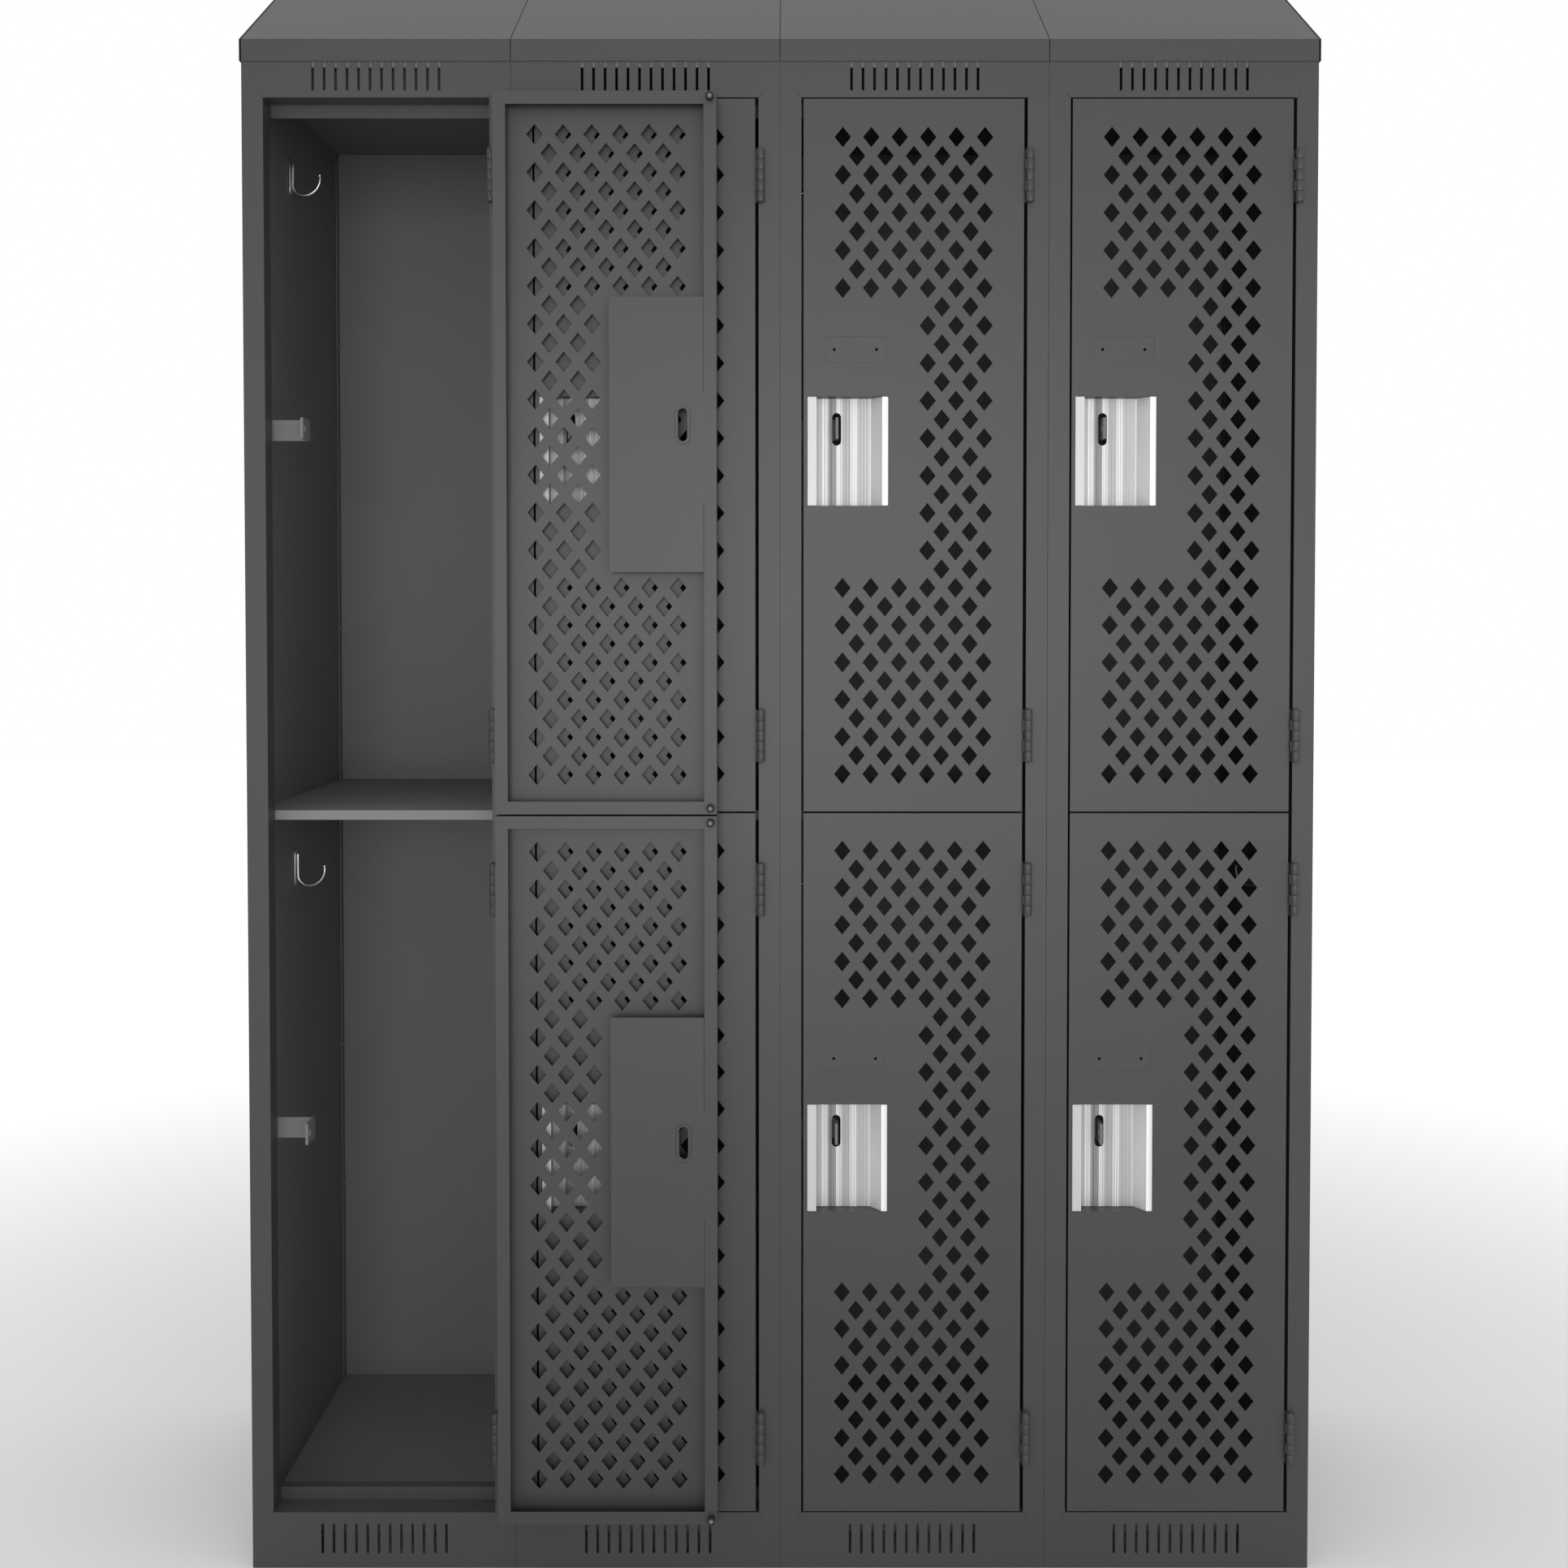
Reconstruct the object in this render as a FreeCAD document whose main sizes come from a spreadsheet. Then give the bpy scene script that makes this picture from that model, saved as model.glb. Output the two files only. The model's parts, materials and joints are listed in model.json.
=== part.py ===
"""Bank of two-tier perforated steel lockers with sloped tops, as a parametric assembly.

+X runs to the right along the front, +Y to the back and +Z up. The origin is on the floor, at
the middle of the bank. Column 1 is at the left. Its two doors stand fully open, folded flat in
front of column 2, and the other six doors are shut.
"""
import FreeCAD, Part
import Sketcher
import math
import os
import re

from FreeCAD import Placement, Rotation, Vector

COLUMNS = (1, 2, 3, 4)
TIERS = ("upper", "lower")
OPEN_COLUMN = 1
OPEN_ANGLE = 180
HALF_TURN = math.pi
# where a coat hook's tip ends, in half turns round its outer bend
HOOK_TIP_TURN = 2.06
# where each groove of the pocket starts, as a share of its floor's width
GROOVE_SHARES = (0.14, 0.2, 0.26, 0.47, 0.53, 0.59, 0.8, 0.86, 0.92)

SIZES = {
    # overall
    "column_width": 304.8,
    "cabinet_depth": 457.2,
    "front_height": 1752,
    "hood_angle": 32,
    # sheet and clearances
    "body_sheet": 1.2,
    "frame_sheet": 1.5,
    "door_sheet": 1.5,
    "seat_gap": 0.3,
    "seam_gap": 0.6,
    # face frame
    "jamb_face": 24.25,
    "sill_face": 65,
    "header_face": 65,
    "jamb_return": 28,
    "outer_return": 12,
    "stop_face": 15,
    "sill_lip": 13,
    "vent_count": 12,
    "vent_pitch": 13,
    "vent_width": 3.1,
    "vent_length": 35,
    "sill_vent_base": 17,
    "header_vent_drop": 22.5,
    "mitre_lap": 0.2,
    "mitre_width": 0.8,
    "mitre_length": 6,
    # carcass
    "hood_lip": 24.5,
    "frame_top_drop": 6,
    "ceiling_drop": 17,
    "floor_height": 40,
    "tray_flange": 14,
    "shelf_lip": 11,
    "back_flange": 15,
    # doors
    "door_gap_free": 2.4,
    "door_gap_hinge": 3.9,
    "door_gap_end": 1.5,
    "door_split": 2,
    "door_depth": 22,
    "door_lip": 14.5,
    "diamond_width": 18.6,
    "diamond_height": 23,
    "diamond_side_margin": 44.5,
    "diamond_end_margin": 43,
    "diamond_column_steps": 5,
    "diamond_row_steps": 34,
    "plate_hole_width": 3.3,
    "plate_hole_spacing": 48,
    "plate_hole_inset": 34.9,
    "plate_drop": 282.5,
    "plate_frame_width": 70,
    "plate_frame_height": 30,
    "plate_frame_depth": 0.3,
    # handle pocket and lock
    "pocket_width": 92,
    "pocket_height": 123.6,
    "pocket_inset": 4.5,
    "pocket_drop": 335.7,
    "pocket_sheet": 1.5,
    "groove_width": 1.2,
    "groove_depth": 0.4,
    "pocket_free_flange": 10.4,
    "pocket_hinge_flange": 6.8,
    "pocket_slope": 12.3,
    "slot_width": 10,
    "slot_length": 37,
    "slot_inset": 38.2,
    "slot_drop": 371,
    "slot_rim": 3.5,
    "slot_rim_rise": 1,
    "cover_width": 106,
    "cover_height": 308,
    "cover_drop": 228,
    "staple_sheet": 3.2,
    "staple_height": 24,
    "staple_reach": 19,
    "staple_eye": 9.5,
    "staple_eye_inset": 2.6,
    "staple_tail": 16,
    "staple_clearance": 1,
    # bumpers
    "bumper_width": 9,
    "bumper_height": 9.5,
    "bumper_wall": 1.6,
    "bumper_dimple_depth": 1.5,
    "bumper_play": 0.5,
    "bumper_inset": 7.25,
    # hinges
    "hinge_length": 60,
    "hinge_inset": 87,
    "hinge_side_offset": 2.1,
    "barrel_radius": 4.75,
    "barrel_clearance": 0.45,
    "pin_radius": 2.5,
    "pin_clearance": 0.05,
    "knuckle_gap": 0.4,
    "leaf_sheet": 1,
    "leaf_clearance": 0.6,
    "neck_lap": 1,
    "leaf_depth": 18,
    "pin_overhang": 1,
    # hooks and fasteners
    "hook_wire": 3.8,
    "hook_drop": 98,
    "hook_reach": 39,
    "hook_bend": 13,
    "hook_depth": 205,
    "hook_plate_sheet": 1.7,
    "hook_weld": 0.2,
    "hook_weld_margin": 6,
    "hook_plate_width": 14,
    "hook_plate_height": 46,
    "rivet_radius": 3.5,
    "rivet_height": 1.6,
    "rivet_spacing": 193,
    "rivet_base": 120,
    "screw_radius": 4,
    "screw_height": 2,
    "screw_inset": 14,
    "screw_rise": 8,
    "head_gap": 0.1,
    "dome_crown": 0.6,
}

DERIVED = {
    "hinge_stand_off": "barrel_radius + barrel_clearance",
    "opening_half": "column_width / 2 - jamb_face",
    "opening_top": "front_height - header_face",
    "door_width": "2 * opening_half - door_gap_free - door_gap_hinge",
    "door_height": "(opening_top - sill_face - 2 * door_gap_end - door_split) / 2",
    "stop_depth": "door_depth + bumper_height + bumper_play",
    "frame_half": "(column_width - seam_gap) / 2",
    "frame_top": "front_height - frame_top_drop",
    "upright_front": "frame_sheet + seat_gap",
    "upright_back": "cabinet_depth - body_sheet - seat_gap",
    "bay_half": "(column_width - body_sheet) / 2 - seat_gap",
    "ceiling": "front_height - ceiling_drop",
    "split_height": "sill_face + door_gap_end + door_height + door_split / 2",
    "hood_rise": "(cabinet_depth + 2 * seat_gap + 2 * body_sheet) * tan(hood_angle)",
    "column_step": "(door_width - 2 * diamond_side_margin) / diamond_column_steps",
    "row_step": "(door_height - 2 * diamond_end_margin) / diamond_row_steps",
    "door_near": "-(door_gap_hinge + hinge_side_offset)",
    "door_far": "door_near - door_width",
    "face": "hinge_stand_off",
    "pocket_left": "door_far + pocket_inset",
    "pocket_top": "door_height - pocket_drop",
    "pocket_floor": "door_depth - door_sheet - seat_gap - pocket_sheet",
    "slot_centre": "door_far + slot_inset",
    "slot_middle": "door_height - slot_drop",
    "slot_half": "(slot_length - slot_width) / 2",
    "knuckle_pitch": "hinge_length / 5",
    "stop_back": "stop_depth + frame_sheet",
}

doc = FreeCAD.newDocument("LockerBank")
sheet = doc.addObject("Spreadsheet::Sheet", "Sizes")
cells = {**SIZES, **DERIVED}
for row, (alias, value) in enumerate(cells.items(), start=1):
    sheet.set(f"A{row}", alias)
    sheet.set(f"B{row}", f"={value}" if isinstance(value, str) else str(value))
    sheet.setAlias(f"B{row}", alias)
doc.recompute()

WORDS = re.compile(r"\b(" + "|".join(sorted(cells, key=len, reverse=True)) + r")\b")
NORMAL = {"XY_Plane": 1, "XZ_Plane": -1, "YZ_Plane": 1}
nodes = {}


def bind(text):
    """Return an expression in which each alias names its cell of the sheet."""
    return WORDS.sub(r"Sizes.\1", str(text))


def value_of(text):
    """Return what an expression of the sheet comes to, as a number."""
    result = sheet.evalExpression(bind(text))
    return float(getattr(result, "Value", result))


def new_body(name):
    """Add an empty body."""
    piece = doc.addObject("PartDesign::Body", name)
    piece.Label = name
    return piece


def new_sketch(piece, name, plane, offset=0):
    """Add a sketch on one of the body's own planes, moved along that plane's axis."""
    sketch = piece.newObject("Sketcher::SketchObject", name)
    support = next(item for item in piece.Origin.OriginFeatures if item.Role == plane)
    sketch.AttachmentSupport = [(support, "")]
    sketch.MapMode = "FlatFace"
    sketch.setExpression("AttachmentOffset.Base.z", f"{NORMAL[plane]} * ({bind(offset)})")
    return sketch


def fix_point(sketch, geometry, end, across, upward):
    """Pin a point of a sketch to two expressions of the sheet."""
    for kind, text in (("DistanceX", across), ("DistanceY", upward)):
        rule = Sketcher.Constraint(kind, -1, 1, geometry, end, value_of(text))
        index = sketch.addConstraint(rule)
        sketch.setExpression(f"Constraints[{index}]", bind(text))


def polygon(sketch, corners):
    """Draw a closed outline through corners, each given by two expressions."""
    points = [Vector(value_of(across), value_of(upward), 0) for across, upward in corners]
    first = sketch.GeometryCount
    count = len(points)
    for index, point in enumerate(points):
        sketch.addGeometry(Part.LineSegment(point, points[(index + 1) % count]), False)
    for index in range(count):
        following = first + (index + 1) % count
        sketch.addConstraint(Sketcher.Constraint("Coincident", first + index, 2, following, 1))
    for index, (across, upward) in enumerate(corners):
        fix_point(sketch, first + index, 1, across, upward)


def rectangle(sketch, left, right, bottom, top):
    """Draw a rectangle between four expressions."""
    polygon(sketch, [(left, bottom), (right, bottom), (right, top), (left, top)])


def circle(sketch, across, upward, radius):
    """Draw a circle about a point given by expressions."""
    centre = Vector(value_of(across), value_of(upward), 0)
    index = sketch.addGeometry(Part.Circle(centre, Vector(0, 0, 1), value_of(radius)), False)
    fix_point(sketch, index, 3, across, upward)
    rule = sketch.addConstraint(Sketcher.Constraint("Radius", index, value_of(radius)))
    sketch.setExpression(f"Constraints[{rule}]", bind(radius))


def slot(sketch, across, low, high, radius):
    """Draw an upright slot with round ends, between the centres of its two ends."""
    x, bottom, top, size = (value_of(text) for text in (across, low, high, radius))
    axis = Vector(0, 0, 1)
    upper = Part.ArcOfCircle(Part.Circle(Vector(x, top, 0), axis, size), 0, HALF_TURN)
    lower = Part.ArcOfCircle(Part.Circle(Vector(x, bottom, 0), axis, size), HALF_TURN, 2 * HALF_TURN)
    first = sketch.addGeometry(upper, False)
    sketch.addGeometry(lower, False)
    sketch.addGeometry(Part.LineSegment(Vector(x - size, top, 0), Vector(x - size, bottom, 0)), False)
    sketch.addGeometry(Part.LineSegment(Vector(x + size, bottom, 0), Vector(x + size, top, 0)), False)
    joins = ((0, 2, 2, 1), (2, 2, 1, 1), (1, 2, 3, 1), (3, 2, 0, 1))
    for one, end, other, start in joins:
        sketch.addConstraint(Sketcher.Constraint("Tangent", first + one, end, first + other, start))
    sketch.addConstraint(Sketcher.Constraint("Equal", first, first + 1))
    fix_point(sketch, first, 3, across, high)
    fix_point(sketch, first + 1, 3, across, low)
    rule = sketch.addConstraint(Sketcher.Constraint("Radius", first, size))
    sketch.setExpression(f"Constraints[{rule}]", bind(radius))


def extrude(piece, name, plane, offset, length, draw, toward=1):
    """Pad an outline of the body along the plane's axis, forwards or backwards."""
    sketch = new_sketch(piece, name + "_outline", plane, offset)
    draw(sketch)
    feature = piece.newObject("PartDesign::Pad", name)
    feature.Profile = sketch
    feature.Reversed = NORMAL[plane] != toward
    feature.setExpression("Length", bind(length))
    return feature


def cut(piece, name, plane, offset, length, draw, toward=1):
    """Pocket an outline out of the body along the plane's axis."""
    sketch = new_sketch(piece, name + "_outline", plane, offset)
    draw(sketch)
    feature = piece.newObject("PartDesign::Pocket", name)
    feature.Profile = sketch
    feature.Reversed = NORMAL[plane] == toward
    feature.setExpression("Length", bind(length))
    doc.recompute()
    before = feature.BaseFeature.Shape.Volume
    if feature.Shape.Volume >= before:
        raise ValueError(f"{piece.Label}: {name} cuts nothing")
    return feature


def repeat(piece, feature, steps):
    """Repeat a cut along one or two axes of its sketch, given as (axis, count, step)."""
    parts = []
    for index, (axis, count, step) in enumerate(steps):
        pattern = doc.addObject("PartDesign::LinearPattern", f"{feature.Name}_{axis}_{index}")
        pattern.Direction = (feature.Profile[0], [axis])
        pattern.Occurrences = count
        pattern.setExpression("Length", f"{count - 1} * ({bind(step)})")
        parts.append(pattern)
    if len(parts) == 1:
        parts[0].Originals = [feature]
        piece.addObject(parts[0])
        piece.Tip = parts[0]
        return parts[0]
    multiple = piece.newObject("PartDesign::MultiTransform", feature.Name + "_grid")
    multiple.Originals = [feature]
    for pattern in parts:
        piece.addObject(pattern)
    multiple.Transformations = parts
    piece.Tip = multiple
    return multiple


def place(node, source, across=0, depth=0, upward=0, angle=0):
    """Add a linked copy of a piece, turned about +Z and moved to three expressions."""
    link = doc.addObject("App::Link", node)
    link.Label = node
    link.LinkedObject = source
    link.Placement = Placement(Vector(), Rotation(Vector(0, 0, 1), angle))
    link.setExpression("Placement.Base.x", bind(across))
    link.setExpression("Placement.Base.y", bind(depth))
    link.setExpression("Placement.Base.z", bind(upward))
    return link


def gather(node, members):
    """Join separate copies into one node."""
    compound = doc.addObject("Part::Compound", node)
    compound.Label = node
    compound.Links = members
    nodes[node] = compound
    return compound


def column_centre(column):
    """Return the expression of a column's middle."""
    return f"({column} - {(len(COLUMNS) + 1) / 2}) * column_width"


FRONT = "-cabinet_depth / 2"


def make_face_frame():
    """Fold one column's face frame, with y = 0 at its front face and x = 0 at its middle."""
    piece = new_body("face_frame")

    def face(sketch):
        rectangle(sketch, "-frame_half", "frame_half", 0, "frame_top")
        rectangle(sketch, "-opening_half", "opening_half", "sill_face", "opening_top")

    extrude(piece, "frame_face", "XZ_Plane", 0, "frame_sheet", face)

    def upright_returns(sketch):
        for side in (-1, 1):
            near = f"{side} * opening_half"
            rectangle(sketch, near, f"{near} + {side} * frame_sheet", "frame_sheet", "jamb_return")
            outer = f"{side} * (column_width / 2 - body_sheet / 2 - seat_gap)"
            rectangle(sketch, outer, f"{outer} - {side} * frame_sheet", "frame_sheet", "outer_return")

    extrude(piece, "jamb_returns", "XY_Plane", "sill_face - frame_sheet",
            "opening_top - sill_face + 2 * frame_sheet", upright_returns)

    def header_stop(sketch):
        top = "opening_top + frame_sheet"
        polygon(sketch, [("frame_sheet", top), ("frame_sheet", "opening_top"),
                         ("stop_depth", "opening_top"), ("stop_depth", "opening_top - stop_face"),
                         ("stop_back", "opening_top - stop_face"), ("stop_back", top)])

    def sill_stop(sketch):
        rise = "sill_face + stop_face"
        polygon(sketch, [("frame_sheet", "sill_face - frame_sheet"),
                         ("stop_back", "sill_face - frame_sheet"),
                         ("stop_back", f"{rise} - frame_sheet"),
                         ("stop_depth + sill_lip", f"{rise} - frame_sheet"),
                         ("stop_depth + sill_lip", rise), ("stop_depth", rise),
                         ("stop_depth", "sill_face"), ("frame_sheet", "sill_face")])

    for name, outline in (("header_stop", header_stop), ("sill_stop", sill_stop)):
        extrude(piece, name, "YZ_Plane", "-opening_half - frame_sheet",
                "2 * (opening_half + frame_sheet)", outline)

    first_vent = "-(vent_count - 1) / 2 * vent_pitch"
    vent_radius = "vent_width / 2"
    vent_bases = {"sill_vents": "sill_vent_base",
                  "header_vents": "front_height - header_vent_drop - vent_length"}
    for name, base in vent_bases.items():
        low = f"{base} + {vent_radius}"
        high = f"{base} + vent_length - {vent_radius}"
        vent = cut(piece, name, "XZ_Plane", 0, "frame_sheet",
                   lambda sketch: slot(sketch, first_vent, low, high, vent_radius))
        repeat(piece, vent, [("H_Axis", int(SIZES["vent_count"]), "vent_pitch")])

    def mitre_cuts(sketch):
        for side in (-1, 1):
            for edge, way in (("sill_face", -1), ("opening_top", 1)):
                corner = f"{side} * (opening_half - mitre_lap)"
                start = f"{edge} - {way} * mitre_lap"
                tip = f"{side} * (opening_half + mitre_length)"
                end = f"{edge} + {way} * mitre_length"
                polygon(sketch, [(corner, start), (f"{corner} + {side} * mitre_width", start),
                                 (tip, end), (f"{tip} - {side} * mitre_width", end)])

    cut(piece, "mitre_cuts", "XZ_Plane", 0, "frame_sheet / 2", mitre_cuts)
    return piece


def make_slope_hood():
    """Fold one column's hood: front lip, slope and rear skirt, each outside the body."""
    piece = new_body("slope_hood")
    out = "seat_gap + body_sheet"
    back = "cabinet_depth + seat_gap"
    bottom = "front_height - hood_lip"
    rise = "front_height + hood_rise"
    drop = "body_sheet / cos(hood_angle)"
    inner_front = f"front_height - {drop} + body_sheet * tan(hood_angle)"
    inner_back = f"{rise} - {drop} - body_sheet * tan(hood_angle)"

    def profile(sketch):
        polygon(sketch, [(f"-({out})", bottom), ("-seat_gap", bottom), ("-seat_gap", inner_front),
                         (back, inner_back), (back, bottom), (f"{back} + body_sheet", bottom),
                         (f"{back} + body_sheet", rise), (f"-({out})", "front_height")])

    extrude(piece, "hood_fold", "YZ_Plane", "-frame_half", "2 * frame_half", profile)
    return piece


def make_hood_end():
    """Make the wedge-shaped end of the hoods, lapped over the outside of a side panel."""
    piece = new_body("hood_end")
    out = "seat_gap + body_sheet"
    bottom = "front_height - hood_lip"
    rise = "front_height + hood_rise"

    def wedge(sketch):
        polygon(sketch, [(f"-({out})", bottom), (f"cabinet_depth + {out}", bottom),
                         (f"cabinet_depth + {out}", rise), (f"-({out})", "front_height")])

    extrude(piece, "wedge", "YZ_Plane", 0, "body_sheet", wedge)
    return piece


def make_upright():
    """Make a side panel or partition, centred on its own plane."""
    piece = new_body("upright")
    extrude(piece, "upright_section", "XY_Plane", 0, "frame_top", lambda sketch: rectangle(
        sketch, "-body_sheet / 2", "body_sheet / 2", "upright_front", "upright_back"))
    return piece


def make_back_panel():
    """Make one column's flat back panel."""
    piece = new_body("back_panel")
    extrude(piece, "back_sheet", "XY_Plane", 0, "frame_top", lambda sketch: rectangle(
        sketch, "-frame_half", "frame_half", "cabinet_depth - body_sheet", "cabinet_depth"))
    return piece


def make_back_strip():
    """Make the strip that stands on a back panel along an upright, centred on its own plane."""
    piece = new_body("back_strip")
    plane = "cabinet_depth - body_sheet"
    extrude(piece, "strip_section", "XY_Plane", 0, "frame_top", lambda sketch: rectangle(
        sketch, "-body_sheet / 2", "body_sheet / 2", f"{plane} - back_flange",
        f"{plane} - seat_gap"))
    return piece


def make_tray(name, height, front, lip):
    """Make a flat panel between the uprights, with its four edges folded down.

    The panel's top is at the height, and the back corners step in to clear the back flanges.
    """
    piece = new_body(name)
    back = "cabinet_depth - body_sheet - seat_gap"
    notch = f"{back} - back_flange"
    inner = "bay_half - body_sheet - seat_gap"

    def outline(sketch):
        polygon(sketch, [("-bay_half", front), ("bay_half", front), ("bay_half", notch),
                         (inner, notch), (inner, back), (f"-({inner})", back),
                         (f"-({inner})", notch), ("-bay_half", notch)])

    extrude(piece, name + "_top", "XY_Plane", f"{height} - body_sheet", "body_sheet", outline)

    def side_flanges(sketch):
        for side in (-1, 1):
            rectangle(sketch, f"{side} * bay_half", f"{side} * (bay_half - body_sheet)", front, notch)

    extrude(piece, name + "_sides", "XY_Plane", f"{height} - body_sheet", "tray_flange - body_sheet",
            side_flanges, toward=-1)
    extrude(piece, name + "_front", "XY_Plane", f"{height} - body_sheet", f"{lip} - body_sheet",
            lambda sketch: rectangle(sketch, "-bay_half", "bay_half", front, f"{front} + body_sheet"),
            toward=-1)
    return piece


def make_door_panel():
    """Fold the door's steel: perforated face, edge flanges, inner lips and pocket end walls.

    x = 0 and y = 0 is the hinge axis, the shut door lies along -X, and z = 0 is its bottom edge.
    """
    piece = new_body("door_panel")
    face = "face"
    back = "face + door_depth"

    def ring(inset):
        return lambda sketch: (
            rectangle(sketch, "door_far", "door_near", 0, "door_height"),
            rectangle(sketch, f"door_far + {inset}", f"door_near - {inset}", inset,
                      f"door_height - {inset}"))

    extrude(piece, "door_face", "XZ_Plane", face, "door_sheet",
            lambda sketch: rectangle(sketch, "door_far", "door_near", 0, "door_height"))
    extrude(piece, "door_flanges", "XZ_Plane", face, "door_depth", ring("door_sheet"))
    extrude(piece, "door_lips", "XZ_Plane", f"{back} - door_sheet", "door_sheet", ring("door_lip"))

    left = "pocket_left - seat_gap"
    right = "pocket_left + pocket_width + seat_gap"
    top = "pocket_top + seat_gap"
    bottom = "pocket_top - pocket_height - seat_gap"
    wall_depth = "pocket_floor + pocket_sheet"

    def end_walls(sketch):
        rectangle(sketch, left, right, top, f"{top} + door_sheet")
        rectangle(sketch, left, right, f"{bottom} - door_sheet", bottom)

    extrude(piece, "pocket_end_walls", "XZ_Plane", face, wall_depth, end_walls)
    cut(piece, "pocket_window", "XZ_Plane", face, "door_sheet",
        lambda sketch: rectangle(sketch, left, right, bottom, top))

    # Six fields of diamonds: full width above and below the lock, and beside it only the
    # columns nearest the hinge. Each is (name, first column, first row, columns, rows).
    fields = (("foot_even", 0, 0, 6, 6), ("foot_odd", 0.5, 1, 5, 5),
              ("lock_even", 3, 12, 3, 7), ("lock_odd", 3.5, 11, 2, 8),
              ("head_even", 0, 26, 6, 5), ("head_odd", 0.5, 27, 5, 4))
    for name, column, row, columns, rows in fields:
        x = f"door_far + diamond_side_margin + {column} * column_step"
        z = f"diamond_end_margin + {row} * row_step"
        outline = [(f"{x} - diamond_width / 2", z), (x, f"{z} - diamond_height / 2"),
                   (f"{x} + diamond_width / 2", z), (x, f"{z} + diamond_height / 2")]
        first = cut(piece, name, "XZ_Plane", face, "door_sheet",
                    lambda sketch: polygon(sketch, outline))
        repeat(piece, first, [("H_Axis", columns, "column_step"), ("V_Axis", rows, "2 * row_step")])

    hole = "door_far + plate_hole_inset"
    height = "door_height - plate_drop"

    def plate_holes(sketch):
        for shift in (0, 1):
            circle(sketch, f"{hole} + {shift} * plate_hole_spacing", height, "plate_hole_width / 2")

    middle = f"{hole} + plate_hole_spacing / 2"
    cut(piece, "plate_frame", "XZ_Plane", face, "plate_frame_depth", lambda sketch: rectangle(
        sketch, f"{middle} - plate_frame_width / 2", f"{middle} + plate_frame_width / 2",
        f"{height} - plate_frame_height / 2", f"{height} + plate_frame_height / 2"))
    cut(piece, "plate_holes", "XZ_Plane", face, "door_sheet", plate_holes)
    return piece


def make_handle_pocket():
    """Extrude the aluminium finger pocket: two flanges, a deep floor and one sloped wall."""
    piece = new_body("handle_pocket")
    left = "pocket_left"
    right = "pocket_left + pocket_width"
    front = "face + door_sheet / 2"
    floor = "face + pocket_floor"
    skin = "pocket_sheet"
    wall = f"{left} + pocket_free_flange"
    shoulder = f"{right} - pocket_hinge_flange"
    foot = f"{shoulder} - pocket_slope"

    def profile(sketch):
        polygon(sketch, [(left, front), (wall, front), (wall, floor), (foot, floor),
                         (shoulder, front), (right, front), (right, f"{front} + {skin}"),
                         (f"{shoulder} + {skin}", f"{front} + {skin}"),
                         (f"{foot} + {skin}", f"{floor} + {skin}"),
                         (f"{wall} - {skin}", f"{floor} + {skin}"),
                         (f"{wall} - {skin}", f"{front} + {skin}"), (left, f"{front} + {skin}")])

    extrude(piece, "pocket_section", "XY_Plane", "pocket_top - pocket_height", "pocket_height", profile)
    floor_width = "pocket_width - pocket_free_flange - pocket_hinge_flange - pocket_slope"

    def grooves(sketch):
        for share in GROOVE_SHARES:
            start = f"{wall} + {share} * ({floor_width})"
            rectangle(sketch, start, f"{start} + groove_width", f"{floor} - groove_depth",
                      f"{floor} + groove_depth")

    cut(piece, "pocket_grooves", "XY_Plane", "pocket_top - pocket_height", "pocket_height", grooves)
    cut(piece, "pocket_slot", "XZ_Plane", floor, "pocket_sheet", lambda sketch: slot(
        sketch, "slot_centre", "slot_middle - slot_half", "slot_middle + slot_half",
        "slot_width / 2"))
    return piece


def make_lock_cover():
    """Make the plate behind the pocket, flush with the door's inner lips, with a rimmed slot."""
    piece = new_body("lock_cover")
    left = "door_far + door_lip + seat_gap"
    plate = "face + door_depth - door_sheet"

    extrude(piece, "cover_plate", "XZ_Plane", plate, "door_sheet", lambda sketch: rectangle(
        sketch, left, f"{left} + cover_width", "door_height - cover_drop - cover_height",
        "door_height - cover_drop"))
    ends = ("slot_centre", "slot_middle - slot_half", "slot_middle + slot_half")
    extrude(piece, "slot_rim", "XZ_Plane", plate, "door_sheet + slot_rim_rise",
            lambda sketch: slot(sketch, *ends, "slot_width / 2 + slot_rim"))
    cut(piece, "cover_slot", "XZ_Plane", plate, "door_sheet + slot_rim_rise",
        lambda sketch: slot(sketch, *ends, "slot_width / 2"))
    return piece


def make_bumper():
    """Make one rubber bumper on the inner lip, with a flat foot."""
    piece = new_body("bumper")
    foot = "face + door_depth + seat_gap / 3"
    rise = "bumper_height - seat_gap / 3"
    extrude(piece, "bumper_drum", "XZ_Plane", foot, rise, lambda sketch: circle(
        sketch, "door_far + bumper_inset", 0, "bumper_width / 2"))
    cut(piece, "bumper_dimple", "XZ_Plane", f"{foot} + {rise}", "bumper_dimple_depth", lambda sketch: circle(
        sketch, "door_far + bumper_inset", 0, "bumper_width / 2 - bumper_wall"), toward=-1)
    return piece


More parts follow.
